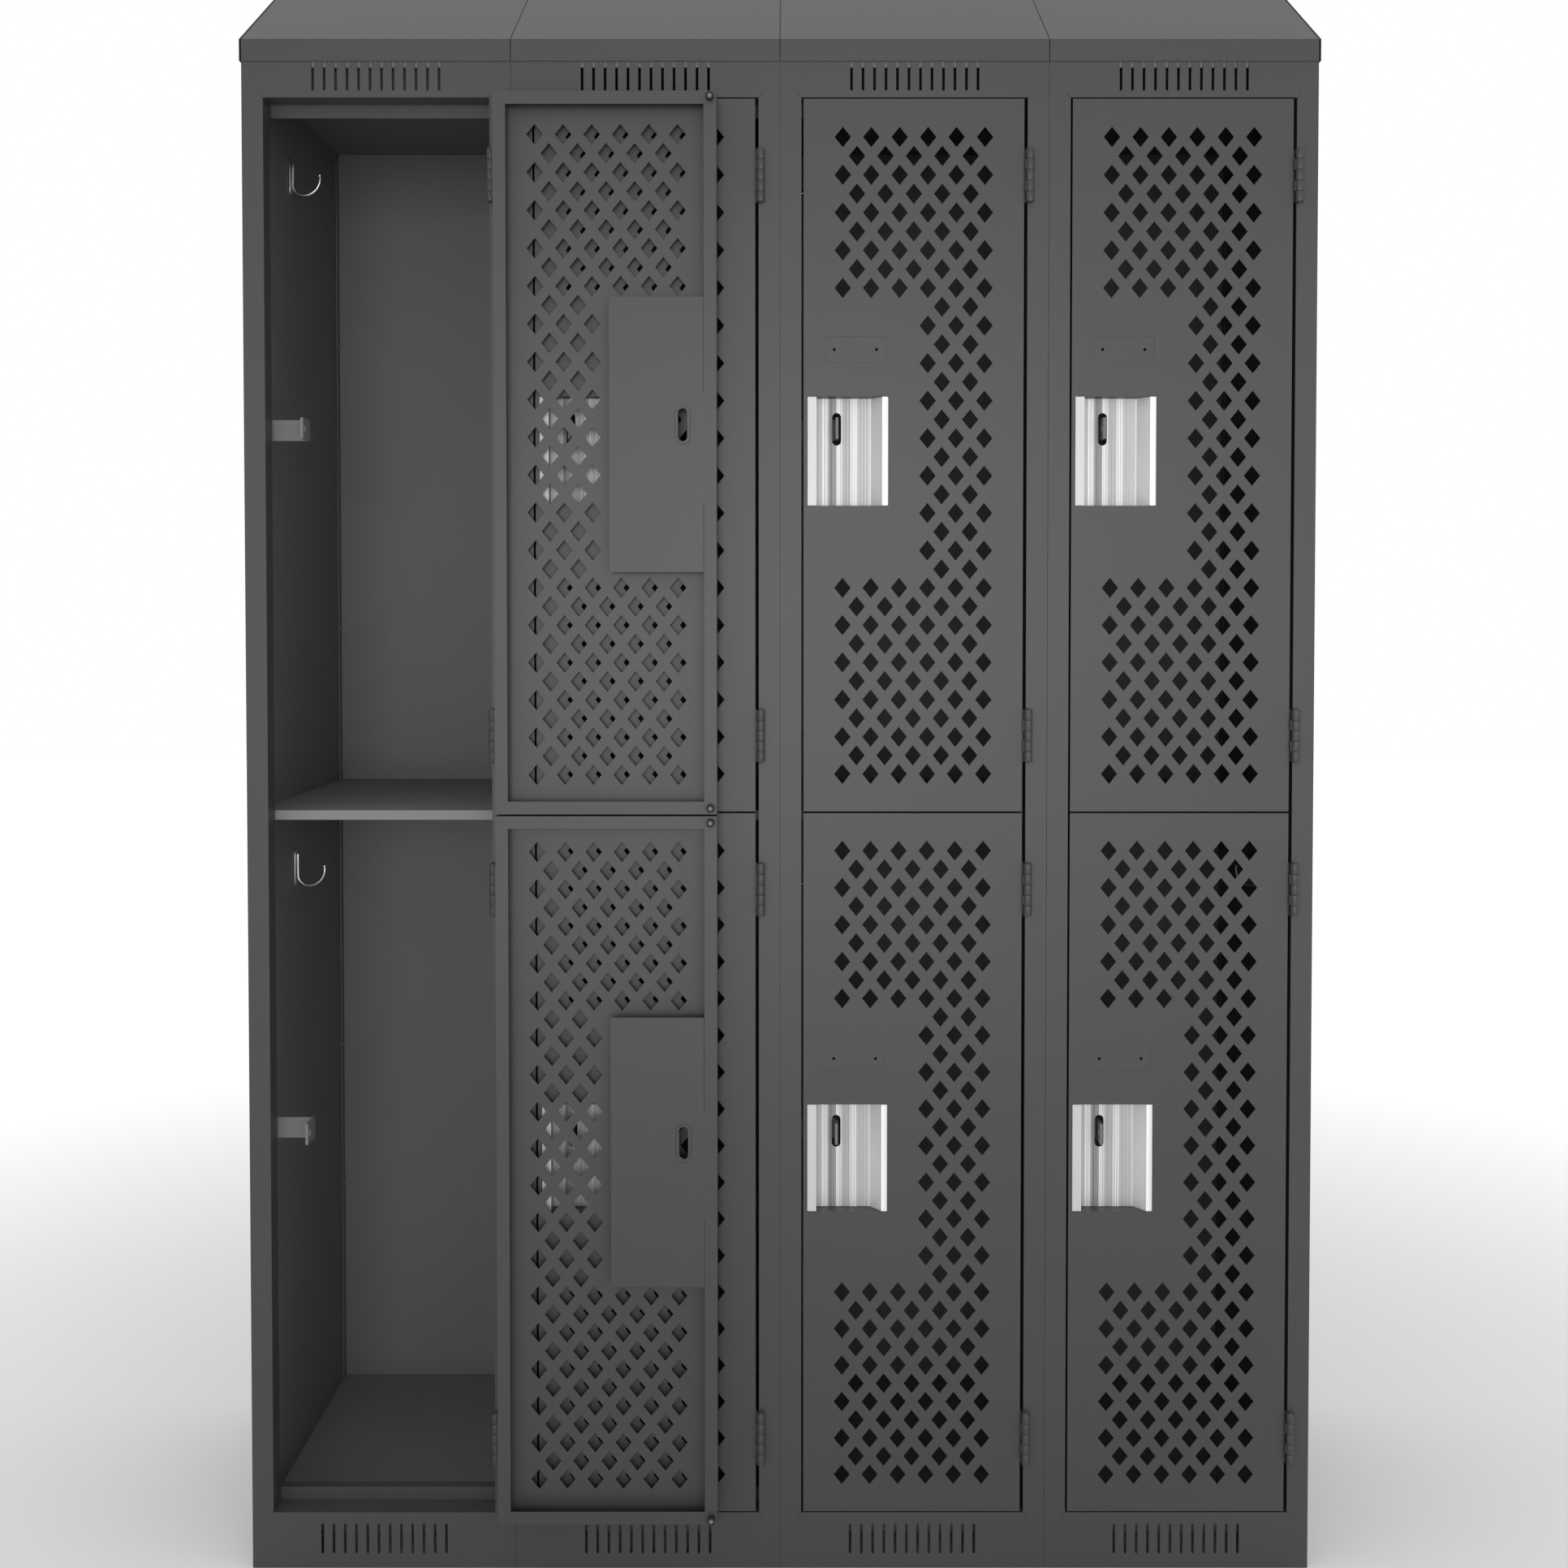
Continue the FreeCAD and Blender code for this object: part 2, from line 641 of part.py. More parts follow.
def make_hinge_leaf(name, knuckles, leaf_near, leaf_far):
    """Make a hinge leaf with its share of the five knuckles, about the axis x = y = 0.

    The leaf lies in the Y-Z plane between two expressions of x and reaches back past the face.
    """
    piece = new_body(name)
    leaf_start = "barrel_radius + leaf_clearance"

    extrude(piece, name + "_plate", "XY_Plane", 0, "hinge_length", lambda sketch: rectangle(
        sketch, leaf_far, leaf_near, leaf_start, "hinge_stand_off + leaf_depth"))
    for knuckle in knuckles:
        base = f"{knuckle} * knuckle_pitch + knuckle_gap / 2"
        length = "knuckle_pitch - knuckle_gap"
        extrude(piece, f"{name}_barrel_{knuckle}", "XY_Plane", base, length,
                lambda sketch: circle(sketch, 0, 0, "barrel_radius"))
        extrude(piece, f"{name}_neck_{knuckle}", "XY_Plane", base, length,
                lambda sketch: rectangle(sketch, leaf_far, leaf_near, 0, f"{leaf_start} + neck_lap"))
    cut(piece, name + "_bore", "XY_Plane", 0, "hinge_length",
        lambda sketch: circle(sketch, 0, 0, "pin_radius + pin_clearance"))
    return piece


def make_hinge_pin():
    """Make one hinge pin."""
    piece = new_body("hinge_pin")
    extrude(piece, "pin_shank", "XY_Plane", "-pin_overhang", "hinge_length + 2 * pin_overhang",
            lambda sketch: circle(sketch, 0, 0, "pin_radius"))
    return piece


def make_staple():
    """Bend one lock staple: a strap from the jamb, turned forward through the door's slot.

    x = 0 is the opening's left edge, y = 0 the frame's front face and z = 0 the strap's middle.
    """
    piece = new_body("lock_staple")
    centre = "door_gap_free + slot_inset"
    blade_left = f"{centre} - staple_sheet / 2"
    blade_right = f"{centre} + staple_sheet / 2"
    plane = "stop_depth + staple_clearance"
    tip = "door_depth - staple_reach"
    tail = "-frame_sheet - seat_gap"

    def strap(sketch):
        polygon(sketch, [(tail, plane), (blade_left, plane), (blade_left, tip), (blade_right, tip),
                         (blade_right, f"{plane} + staple_sheet"), (tail, f"{plane} + staple_sheet")])

    extrude(piece, "staple_strap", "XY_Plane", "-staple_height / 2", "staple_height", strap)
    extrude(piece, "staple_tail", "XY_Plane", "-staple_height / 2", "staple_height",
            lambda sketch: rectangle(sketch, f"{tail} - staple_sheet", tail, "jamb_return - staple_tail",
                                     f"{plane} + staple_sheet"))
    cut(piece, "padlock_eye", "YZ_Plane", blade_left, "staple_sheet",
        lambda sketch: circle(sketch, f"{tip} + staple_eye / 2 + staple_eye_inset", 0, "staple_eye / 2"))
    return piece


def make_coat_hook():
    """Bend one wire hook on its base plate. x = 0 is the side wall, and z = 0 the bend's centre."""
    piece = new_body("coat_hook")
    wall = "seat_gap + hook_plate_sheet + hook_wire / 2 - hook_weld"
    extrude(piece, "hook_plate", "XY_Plane", "-hook_bend", "hook_plate_height", lambda sketch: rectangle(
        sketch, "seat_gap", "seat_gap + hook_plate_sheet", "-hook_plate_width / 2",
        "hook_plate_width / 2"))
    path = new_sketch(piece, "hook_path", "XZ_Plane")
    start = value_of(wall)
    bend = value_of("hook_bend")
    rise = value_of("hook_plate_height - hook_bend - hook_weld_margin")
    reach = value_of("hook_reach - hook_wire / 2")
    spread = reach - bend
    centre = Vector(start + bend, 0, 0)
    path.addGeometry(Part.LineSegment(Vector(start, rise, 0), Vector(start, 0, 0)), False)
    ring = Part.Circle(centre, Vector(0, 0, 1), bend)
    path.addGeometry(Part.ArcOfCircle(ring, HALF_TURN, 1.5 * HALF_TURN), False)
    outer = Part.Circle(Vector(start + bend, spread - bend - start, 0), Vector(0, 0, 1), spread - start)
    path.addGeometry(Part.ArcOfCircle(outer, 1.5 * HALF_TURN, HOOK_TIP_TURN * HALF_TURN), False)
    section = new_sketch(piece, "hook_section", "XY_Plane", rise)
    circle(section, wall, 0, "hook_wire / 2")
    wire = piece.newObject("PartDesign::AdditivePipe", "hook_wire_sweep")
    wire.Profile = section
    wire.Spine = path
    return piece


def make_dome(name, radius, height):
    """Turn one low domed head about +Z, standing on z = 0."""
    head = doc.addObject("Part::Cone", name)
    head.setExpression("Radius1", bind(radius))
    head.setExpression("Radius2", f"{bind('dome_crown')} * {bind(radius)}")
    head.setExpression("Height", bind(height))
    return head


def build_columns():
    """Place the pieces that every column has once."""
    frame = make_face_frame()
    hood = make_slope_hood()
    trays = {
        "top_panels": make_tray("top_panel", "ceiling", "upright_front", "tray_flange"),
        "divider_shelves": make_tray("divider_shelf", "split_height - door_split / 2", "stop_depth",
                                     "shelf_lip"),
        "floor_pans": make_tray("floor_pan", "floor_height", "stop_back + seat_gap", "tray_flange"),
    }
    panel = make_back_panel()
    strip = make_back_strip()
    backs = []
    for column in COLUMNS:
        centre = column_centre(column)
        nodes[f"face_frame_{column}"] = place(f"face_frame_{column}", frame, centre, FRONT)
        nodes[f"slope_hood_{column}"] = place(f"slope_hood_{column}", hood, centre, FRONT)
        backs.append(place(f"back_panel_{column}", panel, centre, FRONT))
        for side in (-1, 1):
            backs.append(place(f"back_strip_{column}_{side + 1}", strip,
                               f"{centre} + {side} * (bay_half - body_sheet / 2)", FRONT))
    gather("back_panels", backs)
    for node, piece in trays.items():
        gather(node, [place(f"{piece.Label}_{column}", piece, column_centre(column), FRONT)
                      for column in COLUMNS])


def build_uprights():
    """Place the side panels, the partitions and the hood's ends."""
    upright = make_upright()
    half = f"{len(COLUMNS) / 2} * column_width"
    gather("side_panels", [place("side_panel_left", upright, f"-{half}", FRONT),
                           place("side_panel_right", upright, half, FRONT)])
    gather("partitions", [place(f"partition_{column}", upright,
                                f"{column_centre(column)} + column_width / 2", FRONT)
                          for column in COLUMNS[:-1]])
    end = make_hood_end()
    lap = "(body_sheet / 2 + seat_gap)"
    gather("hood_ends", [place("hood_end_left", end, f"-{half} - {lap} - body_sheet", FRONT),
                         place("hood_end_right", end, f"{half} + {lap}", FRONT)])


def door_places():
    """Yield each door's name, column, height of its bottom edge and opening angle."""
    for column in COLUMNS:
        for tier in TIERS:
            base = "sill_face + door_gap_end"
            if tier == "upper":
                base += " + door_height + door_split"
            angle = OPEN_ANGLE if column == OPEN_COLUMN else 0
            yield f"door_{column}_{tier}", column, base, angle


def build_doors():
    """Place the eight doors, each with its own panel, pocket, cover, hinge leaves and bumpers."""
    frame_leaf = make_hinge_leaf("frame_leaf", (0, 2, 4), "-hinge_side_offset - seat_gap",
                                 "-hinge_side_offset - seat_gap - leaf_sheet")
    door_leaf = make_hinge_leaf("door_leaf", (1, 3), "door_near + seat_gap + leaf_sheet",
                                "door_near + seat_gap")
    pin = make_hinge_pin()
    bumper = make_bumper()
    staple = make_staple()
    single = {"door_panel": make_door_panel(), "handle_pocket": make_handle_pocket(),
              "lock_cover": make_lock_cover()}
    hinge_heights = ("hinge_inset - hinge_length / 2", "door_height - hinge_inset - hinge_length / 2")
    bumper_heights = ("bumper_inset", "door_height - bumper_inset")
    frame_leaves = []
    pins = []
    staples = []
    for door, column, base, angle in door_places():
        axis = (f"{column_centre(column)} + opening_half + hinge_side_offset",
                f"{FRONT} - hinge_stand_off")
        for suffix, piece in single.items():
            node = f"{door}_{suffix}"
            nodes[node] = place(node, piece, *axis, base, angle)
        leaves = []
        for index, height in enumerate(hinge_heights, start=1):
            level = f"{base} + {height}"
            leaves.append(place(f"{door}_leaf_{index}", door_leaf, *axis, level, angle))
            frame_leaves.append(place(f"{door}_frame_leaf_{index}", frame_leaf, *axis, level))
            pins.append(place(f"{door}_pin_{index}", pin, *axis, level))
        gather(f"{door}_hinge_leaves", leaves)
        gather(f"{door}_bumpers", [
            place(f"{door}_bumper_{index}", bumper, *axis, f"{base} + {height}", angle)
            for index, height in enumerate(bumper_heights, start=1)])
        staples.append(place(f"{door}_staple", staple, f"{column_centre(column)} - opening_half",
                             FRONT, f"{base} + slot_middle"))
    gather("hinge_frame_leaves", frame_leaves)
    gather("hinge_pins", pins)
    gather("lock_staples", staples)


def build_fittings():
    """Place the coat hooks, the back rivets and the hood screws."""
    hook = make_coat_hook()
    rivet = make_dome("rivet", "rivet_radius", "rivet_height")
    screw = make_dome("screw", "screw_radius", "screw_height")
    hooks = []
    heads = []
    tops = {"upper": "ceiling - body_sheet", "lower": "split_height - door_split / 2 - body_sheet"}
    rivet_count = int((value_of("ceiling") - value_of("rivet_base")) // value_of("rivet_spacing")) + 1
    for column in COLUMNS:
        centre = column_centre(column)
        for side, angle in ((-1, 0), (1, 180)):
            wall = f"{centre} + {side} * (bay_half + seat_gap)"
            for tier, top in tops.items():
                hooks.append(place(f"hook_{column}_{tier}_{angle}", hook, wall,
                                   f"{FRONT} + hook_depth", f"{top} - hook_drop", angle))
            for index in range(rivet_count):
                head = place(f"rivet_{column}_{angle}_{index}", rivet,
                             f"{centre} + {side} * (bay_half - body_sheet - head_gap)",
                             "cabinet_depth / 2 - body_sheet - back_flange / 2",
                             f"rivet_base + {index} * rivet_spacing")
                head.Placement = Placement(head.Placement.Base, Rotation(Vector(0, 1, 0), -90 * side))
                heads.append(head)
    for side in (-1, 1):
        for depth in ("screw_inset", "cabinet_depth / 2", "cabinet_depth - screw_inset"):
            across = (f"{side} * ({len(COLUMNS) / 2} * column_width + 1.5 * body_sheet + seat_gap"
                      " + head_gap)")
            head = place(f"screw_{side + 1}_{len(heads)}", screw, across, f"{FRONT} + {depth}",
                         "front_height - hood_lip + screw_rise")
            head.Placement = Placement(head.Placement.Base, Rotation(Vector(0, 1, 0), 90 * side))
            heads.append(head)
    gather("coat_hooks", hooks)
    gather("fasteners", heads)


def check_and_write():
    """Recompute, refuse any failed object or bad shape, and write one file per node.

    A copy of a piece is as valid as the piece, so each linked piece is tested once.
    """
    doc.recompute()
    failed = [item.Label for item in doc.Objects
              if "Invalid" in item.State or "Error" in item.State]
    if failed:
        raise RuntimeError(f"failed objects: {failed}")
    for piece in {item.LinkedObject for item in doc.Objects if item.TypeId == "App::Link"}:
        if piece.Shape.isNull() or not piece.Shape.isValid():
            raise RuntimeError(f"{piece.Label}: bad shape")
    os.makedirs("parts", exist_ok=True)
    for node, item in nodes.items():
        shape = Part.getShape(item)
        if shape.isNull():
            raise RuntimeError(f"{node}: no shape")
        shape.exportStep(f"parts/{node}.step")
        print(f"{node}: {len(shape.Solids)} solids")


build_columns()
build_uprights()
build_doors()
build_fittings()
check_and_write()
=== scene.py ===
"""Looks of the locker bank: finishes, softened sheet edges, turned and bent details, light, camera.

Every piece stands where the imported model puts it, in metres. +X is right, +Y back and +Z up.
"""

import json
import logging
import math
from dataclasses import dataclass, field
from enum import Enum
from typing import Any, Callable

import bmesh
import bpy
import numpy as np
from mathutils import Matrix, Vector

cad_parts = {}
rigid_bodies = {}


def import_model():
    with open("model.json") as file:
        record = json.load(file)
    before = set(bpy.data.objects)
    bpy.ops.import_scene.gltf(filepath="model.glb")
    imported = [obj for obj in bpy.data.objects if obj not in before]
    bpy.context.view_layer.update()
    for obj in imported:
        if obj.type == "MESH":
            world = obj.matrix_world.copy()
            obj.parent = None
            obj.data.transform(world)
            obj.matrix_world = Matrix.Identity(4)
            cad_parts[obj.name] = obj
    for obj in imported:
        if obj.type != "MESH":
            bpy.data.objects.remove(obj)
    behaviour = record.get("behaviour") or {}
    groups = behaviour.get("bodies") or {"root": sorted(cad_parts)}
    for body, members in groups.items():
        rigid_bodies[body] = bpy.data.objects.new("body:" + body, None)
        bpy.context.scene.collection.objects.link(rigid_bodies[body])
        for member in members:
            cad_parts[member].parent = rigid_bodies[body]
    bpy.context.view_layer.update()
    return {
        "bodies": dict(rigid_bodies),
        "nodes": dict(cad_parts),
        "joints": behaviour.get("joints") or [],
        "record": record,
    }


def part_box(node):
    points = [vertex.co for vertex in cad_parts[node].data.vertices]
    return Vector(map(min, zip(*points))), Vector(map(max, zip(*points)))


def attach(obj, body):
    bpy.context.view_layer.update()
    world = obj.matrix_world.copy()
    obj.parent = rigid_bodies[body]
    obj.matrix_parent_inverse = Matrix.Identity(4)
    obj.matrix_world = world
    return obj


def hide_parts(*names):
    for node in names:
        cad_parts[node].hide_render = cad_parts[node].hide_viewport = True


LOG = logging.getLogger("locker_bank")
MM = 0.001
ACROSS = "across"
COLUMNS = (1, 2, 3, 4)
FLAT_TURN = math.radians(0.6)
FOLD_TURN = math.radians(28.0)
UP = np.array([0.0, 0.0, 1.0])

Surface = tuple[np.ndarray, np.ndarray]
Corners = tuple[np.ndarray, np.ndarray]
Colour = tuple[float, float, float]


# ---------------------------------------------------------------------------------------------
# Node groups that several finishes share
# ---------------------------------------------------------------------------------------------


class Shared(Enum):
    """The shader node groups that more than one finish uses."""

    PEEL = "powder_coat_peel"
    DRIFT = "tone_drift"
    DUST = "settled_dust"
    SCUFF = "handling_scuffs"


class GroupLibrary:
    """Builds each shared node group once and hands it out by name."""

    def __init__(self) -> None:
        """Start with no group built."""
        self.built: dict[Shared, bpy.types.NodeTree] = {}

    def get(self, kind: Shared) -> bpy.types.NodeTree:
        """Return a shared group, building it the first time.

        Args:
            kind: which group is wanted.

        Returns:
            The node tree of the group.
        """
        if kind not in self.built:
            maker = {Shared.PEEL: self._peel, Shared.DRIFT: self._drift,
                     Shared.DUST: self._dust, Shared.SCUFF: self._scuff}[kind]
            self.built[kind] = maker()
        return self.built[kind]

    @staticmethod
    def _start(name: str, inputs: dict[str, float], outputs: tuple[str, ...]) -> tuple[Any, Any, Any]:
        """Open a group with float inputs and float outputs.

        Args:
            name: the group's name.
            inputs: each input's name and default.
            outputs: the outputs' names.

        Returns:
            The tree, its input node and its output node.
        """
        tree = bpy.data.node_groups.new(name, "ShaderNodeTree")
        for label, default in inputs.items():
            socket = tree.interface.new_socket(label, in_out="INPUT", socket_type="NodeSocketFloat")
            socket.default_value = default
        for label in outputs:
            tree.interface.new_socket(label, in_out="OUTPUT", socket_type="NodeSocketFloat")
        return tree, tree.nodes.new("NodeGroupInput"), tree.nodes.new("NodeGroupOutput")

    def _peel(self) -> bpy.types.NodeTree:
        """Build the orange-peel height of powder coat: fine noise over a broader swell.

        Returns:
            The group's tree.
        """
        tree, source, target = self._start("powder_coat_peel", {"Scale": 900.0, "Swell": 0.35}, ("Height",))
        place = tree.nodes.new("ShaderNodeTexCoord")
        fine = tree.nodes.new("ShaderNodeTexNoise")
        fine.inputs["Detail"].default_value = 2.0
        tree.links.new(place.outputs["Object"], fine.inputs["Vector"])
        tree.links.new(source.outputs["Scale"], fine.inputs["Scale"])
        broad = tree.nodes.new("ShaderNodeTexNoise")
        broad.inputs["Scale"].default_value = 7.0
        broad.inputs["Detail"].default_value = 1.0
        tree.links.new(place.outputs["Object"], broad.inputs["Vector"])
        mix = tree.nodes.new("ShaderNodeMath")
        mix.operation = "MULTIPLY_ADD"
        tree.links.new(broad.outputs["Fac"], mix.inputs[0])
        tree.links.new(source.outputs["Swell"], mix.inputs[1])
        tree.links.new(fine.outputs["Fac"], mix.inputs[2])
        tree.links.new(mix.outputs[0], target.inputs["Height"])
        return tree

    def _drift(self) -> bpy.types.NodeTree:
        """Build a slow drift of tone about 1: large soft noise scaled by its amount.

        Returns:
            The group's tree.
        """
        tree, source, target = self._start("tone_drift", {"Scale": 3.0, "Amount": 0.06}, ("Tone",))
        place = tree.nodes.new("ShaderNodeTexCoord")
        noise = tree.nodes.new("ShaderNodeTexNoise")
        noise.inputs["Detail"].default_value = 4.0
        tree.links.new(place.outputs["Object"], noise.inputs["Vector"])
        tree.links.new(source.outputs["Scale"], noise.inputs["Scale"])
        centre = tree.nodes.new("ShaderNodeMath")
        centre.operation = "SUBTRACT"
        centre.inputs[1].default_value = 0.5
        tree.links.new(noise.outputs["Fac"], centre.inputs[0])
        scale = tree.nodes.new("ShaderNodeMath")
        scale.operation = "MULTIPLY_ADD"
        scale.inputs[2].default_value = 1.0
        tree.links.new(centre.outputs[0], scale.inputs[0])
        tree.links.new(source.outputs["Amount"], scale.inputs[1])
        tree.links.new(scale.outputs[0], target.inputs["Tone"])
        return tree

    def _dust(self) -> bpy.types.NodeTree:
        """Build a dust mask: how far a surface faces up, broken up by fine noise.

        Returns:
            The group's tree.
        """
        tree, source, target = self._start("settled_dust", {"Amount": 0.2, "Scale": 60.0}, ("Mask",))
        shape = tree.nodes.new("ShaderNodeNewGeometry")
        split = tree.nodes.new("ShaderNodeSeparateXYZ")
        tree.links.new(shape.outputs["Normal"], split.inputs[0])
        facing = tree.nodes.new("ShaderNodeMapRange")
        facing.inputs["From Min"].default_value = 0.3
        facing.inputs["From Max"].default_value = 1.0
        tree.links.new(split.outputs["Z"], facing.inputs["Value"])
        place = tree.nodes.new("ShaderNodeTexCoord")
        noise = tree.nodes.new("ShaderNodeTexNoise")
        noise.inputs["Detail"].default_value = 5.0
        tree.links.new(place.outputs["Object"], noise.inputs["Vector"])
        tree.links.new(source.outputs["Scale"], noise.inputs["Scale"])
        broken = tree.nodes.new("ShaderNodeMath")
        broken.operation = "MULTIPLY"
        tree.links.new(facing.outputs["Result"], broken.inputs[0])
        tree.links.new(noise.outputs["Fac"], broken.inputs[1])
        amount = tree.nodes.new("ShaderNodeMath")
        amount.operation = "MULTIPLY"
        amount.use_clamp = True
        tree.links.new(broken.outputs[0], amount.inputs[0])
        tree.links.new(source.outputs["Amount"], amount.inputs[1])
        tree.links.new(amount.outputs[0], target.inputs["Mask"])
        return tree

    def _scuff(self) -> bpy.types.NodeTree:
        """Build a scuff mask: the thin bright crests of a stretched noise.

        Returns:
            The group's tree.
        """
        inputs = {"Amount": 0.3, "Across": 40.0, "Along": 6.0}
        tree, source, target = self._start("handling_scuffs", inputs, ("Mask",))
        place = tree.nodes.new("ShaderNodeTexCoord")
        split = tree.nodes.new("ShaderNodeSeparateXYZ")
        tree.links.new(place.outputs["Object"], split.inputs[0])
        join = tree.nodes.new("ShaderNodeCombineXYZ")
        for axis, label in (("X", "Across"), ("Y", "Across"), ("Z", "Along")):
            stretch = tree.nodes.new("ShaderNodeMath")
            stretch.operation = "MULTIPLY"
            tree.links.new(split.outputs[axis], stretch.inputs[0])
            tree.links.new(source.outputs[label], stretch.inputs[1])
            tree.links.new(stretch.outputs[0], join.inputs[axis])
        noise = tree.nodes.new("ShaderNodeTexNoise")
        noise.inputs["Scale"].default_value = 1.0
        noise.inputs["Detail"].default_value = 8.0
        noise.inputs["Roughness"].default_value = 0.7
        tree.links.new(join.outputs[0], noise.inputs["Vector"])
        crest = tree.nodes.new("ShaderNodeMapRange")
        crest.inputs["From Min"].default_value = 0.58
        crest.inputs["From Max"].default_value = 0.74
        tree.links.new(noise.outputs["Fac"], crest.inputs["Value"])
        amount = tree.nodes.new("ShaderNodeMath")
        amount.operation = "MULTIPLY"
        amount.use_clamp = True
        tree.links.new(crest.outputs["Result"], amount.inputs[0])
        tree.links.new(source.outputs["Amount"], amount.inputs[1])
        tree.links.new(amount.outputs[0], target.inputs["Mask"])
        return tree


class MaterialSketch:
    """A material under construction, with short calls for the nodes that finishes share."""

    def __init__(self, name: str, groups: GroupLibrary) -> None:
        """Open an empty material with a Principled shader.

        Args:
            name: the material's name.
            groups: the library of shared groups.
        """
        self.material = bpy.data.materials.new(name)
        self.material.use_nodes = True
        self.tree = self.material.node_tree
        self.groups = groups
        self.shader = self.tree.nodes["Principled BSDF"]

    def group(self, kind: Shared, **values: float) -> Any:
        """Place a shared group with its own values.

        Args:
            kind: which group.
            **values: input values by name.

        Returns:
            The group's only output socket.
        """
        node = self.tree.nodes.new("ShaderNodeGroup")
        node.node_tree = self.groups.get(kind)
        for label, value in values.items():
            node.inputs[label].default_value = value
        return node.outputs[0]

    def math(self, operation: str, first: Any, second: Any) -> Any:
        """Combine two sockets or numbers.

        Args:
            operation: a Math node's operation.
            first: a socket or a number.
            second: a socket or a number.

        Returns:
            The result's socket.
        """
        node = self.tree.nodes.new("ShaderNodeMath")
        node.operation = operation
        for slot, value in enumerate((first, second)):
            if isinstance(value, (int, float)):
                node.inputs[slot].default_value = value
            else:
                self.tree.links.new(value, node.inputs[slot])
        return node.outputs[0]

    def mix(self, factor: Any, first: Any, second: Any) -> Any:
        """Mix two colours, each a socket or an RGB tuple, by a factor socket.

        Args:
            factor: the socket of the mixing factor.
            first: the colour at 0.
            second: the colour at 1.

        Returns:
            The mixed colour's socket.
        """
        node = self.tree.nodes.new("ShaderNodeMix")
        node.data_type = "RGBA"
        self.tree.links.new(factor, node.inputs["Factor"])
        for label, value in (("A", first), ("B", second)):
            slot = next(item for item in node.inputs if item.name == label and item.type == "RGBA")
            if isinstance(value, tuple):
                slot.default_value = (*value, 1.0)
            else:
                self.tree.links.new(value, slot)
        return next(item for item in node.outputs if item.type == "RGBA")

    def toned(self, colour: Colour, tone: Any) -> Any:
        """Scale a colour by a tone socket: colour times tone, channel by channel.

        Args:
            colour: the colour's red, green and blue.
            tone: the tone's socket, which is about 1.

        Returns:
            The scaled colour's socket.
        """
        node = self.tree.nodes.new("ShaderNodeVectorMath")
        node.operation = "SCALE"
        node.inputs[0].default_value = colour
        self.tree.links.new(tone, node.inputs["Scale"])
        return node.outputs[0]

    def bump(self, height: Any, strength: float, distance: float) -> None:
        """Feed a height into the shader's normal through a Bump node.

        Args:
            height: the height's socket.
            strength: the Bump node's strength.
            distance: the height of a full step, in metres.
        """
        node = self.tree.nodes.new("ShaderNodeBump")
        node.inputs["Strength"].default_value = strength
        node.inputs["Distance"].default_value = distance
        self.tree.links.new(height, node.inputs["Height"])
        self.tree.links.new(node.outputs["Normal"], self.shader.inputs["Normal"])

    def feed(self, label: str, value: Any) -> None:
        """Set or link one of the shader's inputs.

        Args:
            label: the input's name.
            value: a number, or the socket that is linked to it.
        """
        if isinstance(value, (int, float)):
            self.shader.inputs[label].default_value = value
        else:
            self.tree.links.new(value, self.shader.inputs[label])


@dataclass(frozen=True)
class PowderCoat:
    """Satin powder coat over steel: peel, slow tone drift, dust on top and pale scuffs."""

    name: str
    slot: str
    colour: Colour
    roughness: float = 0.42
    dust: float = 0.12
    scuffs: float = 0.10
    dust_colour: Colour = (0.34, 0.33, 0.31)

    def build(self, groups: GroupLibrary) -> bpy.types.Material:
        """Build the material.

        Args:
            groups: the library of shared groups.

        Returns:
            The finished material.
        """
        sketch = MaterialSketch(self.name, groups)
        tone = sketch.group(Shared.DRIFT, Scale=2.6, Amount=0.16)
        base = sketch.toned(self.colour, tone)
        scuff = sketch.group(Shared.SCUFF, Amount=self.scuffs, Across=55.0, Along=9.0)
        worn = sketch.mix(scuff, base, tuple(min(1.0, part * 1.7 + 0.02) for part in self.colour))
        dust = sketch.group(Shared.DUST, Amount=self.dust, Scale=85.0)
        sketch.feed("Base Color", sketch.mix(dust, worn, self.dust_colour))
        rough = sketch.math("ADD", sketch.math("MULTIPLY", scuff, 0.25), self.roughness)
        sketch.feed("Roughness", sketch.math("ADD", rough, sketch.math("MULTIPLY", dust, 0.6)))
        sketch.feed("Specular IOR Level", 0.45)
        sketch.bump(sketch.group(Shared.PEEL, Scale=620.0, Swell=0.4), 0.22, 0.00012)
        return sketch.material


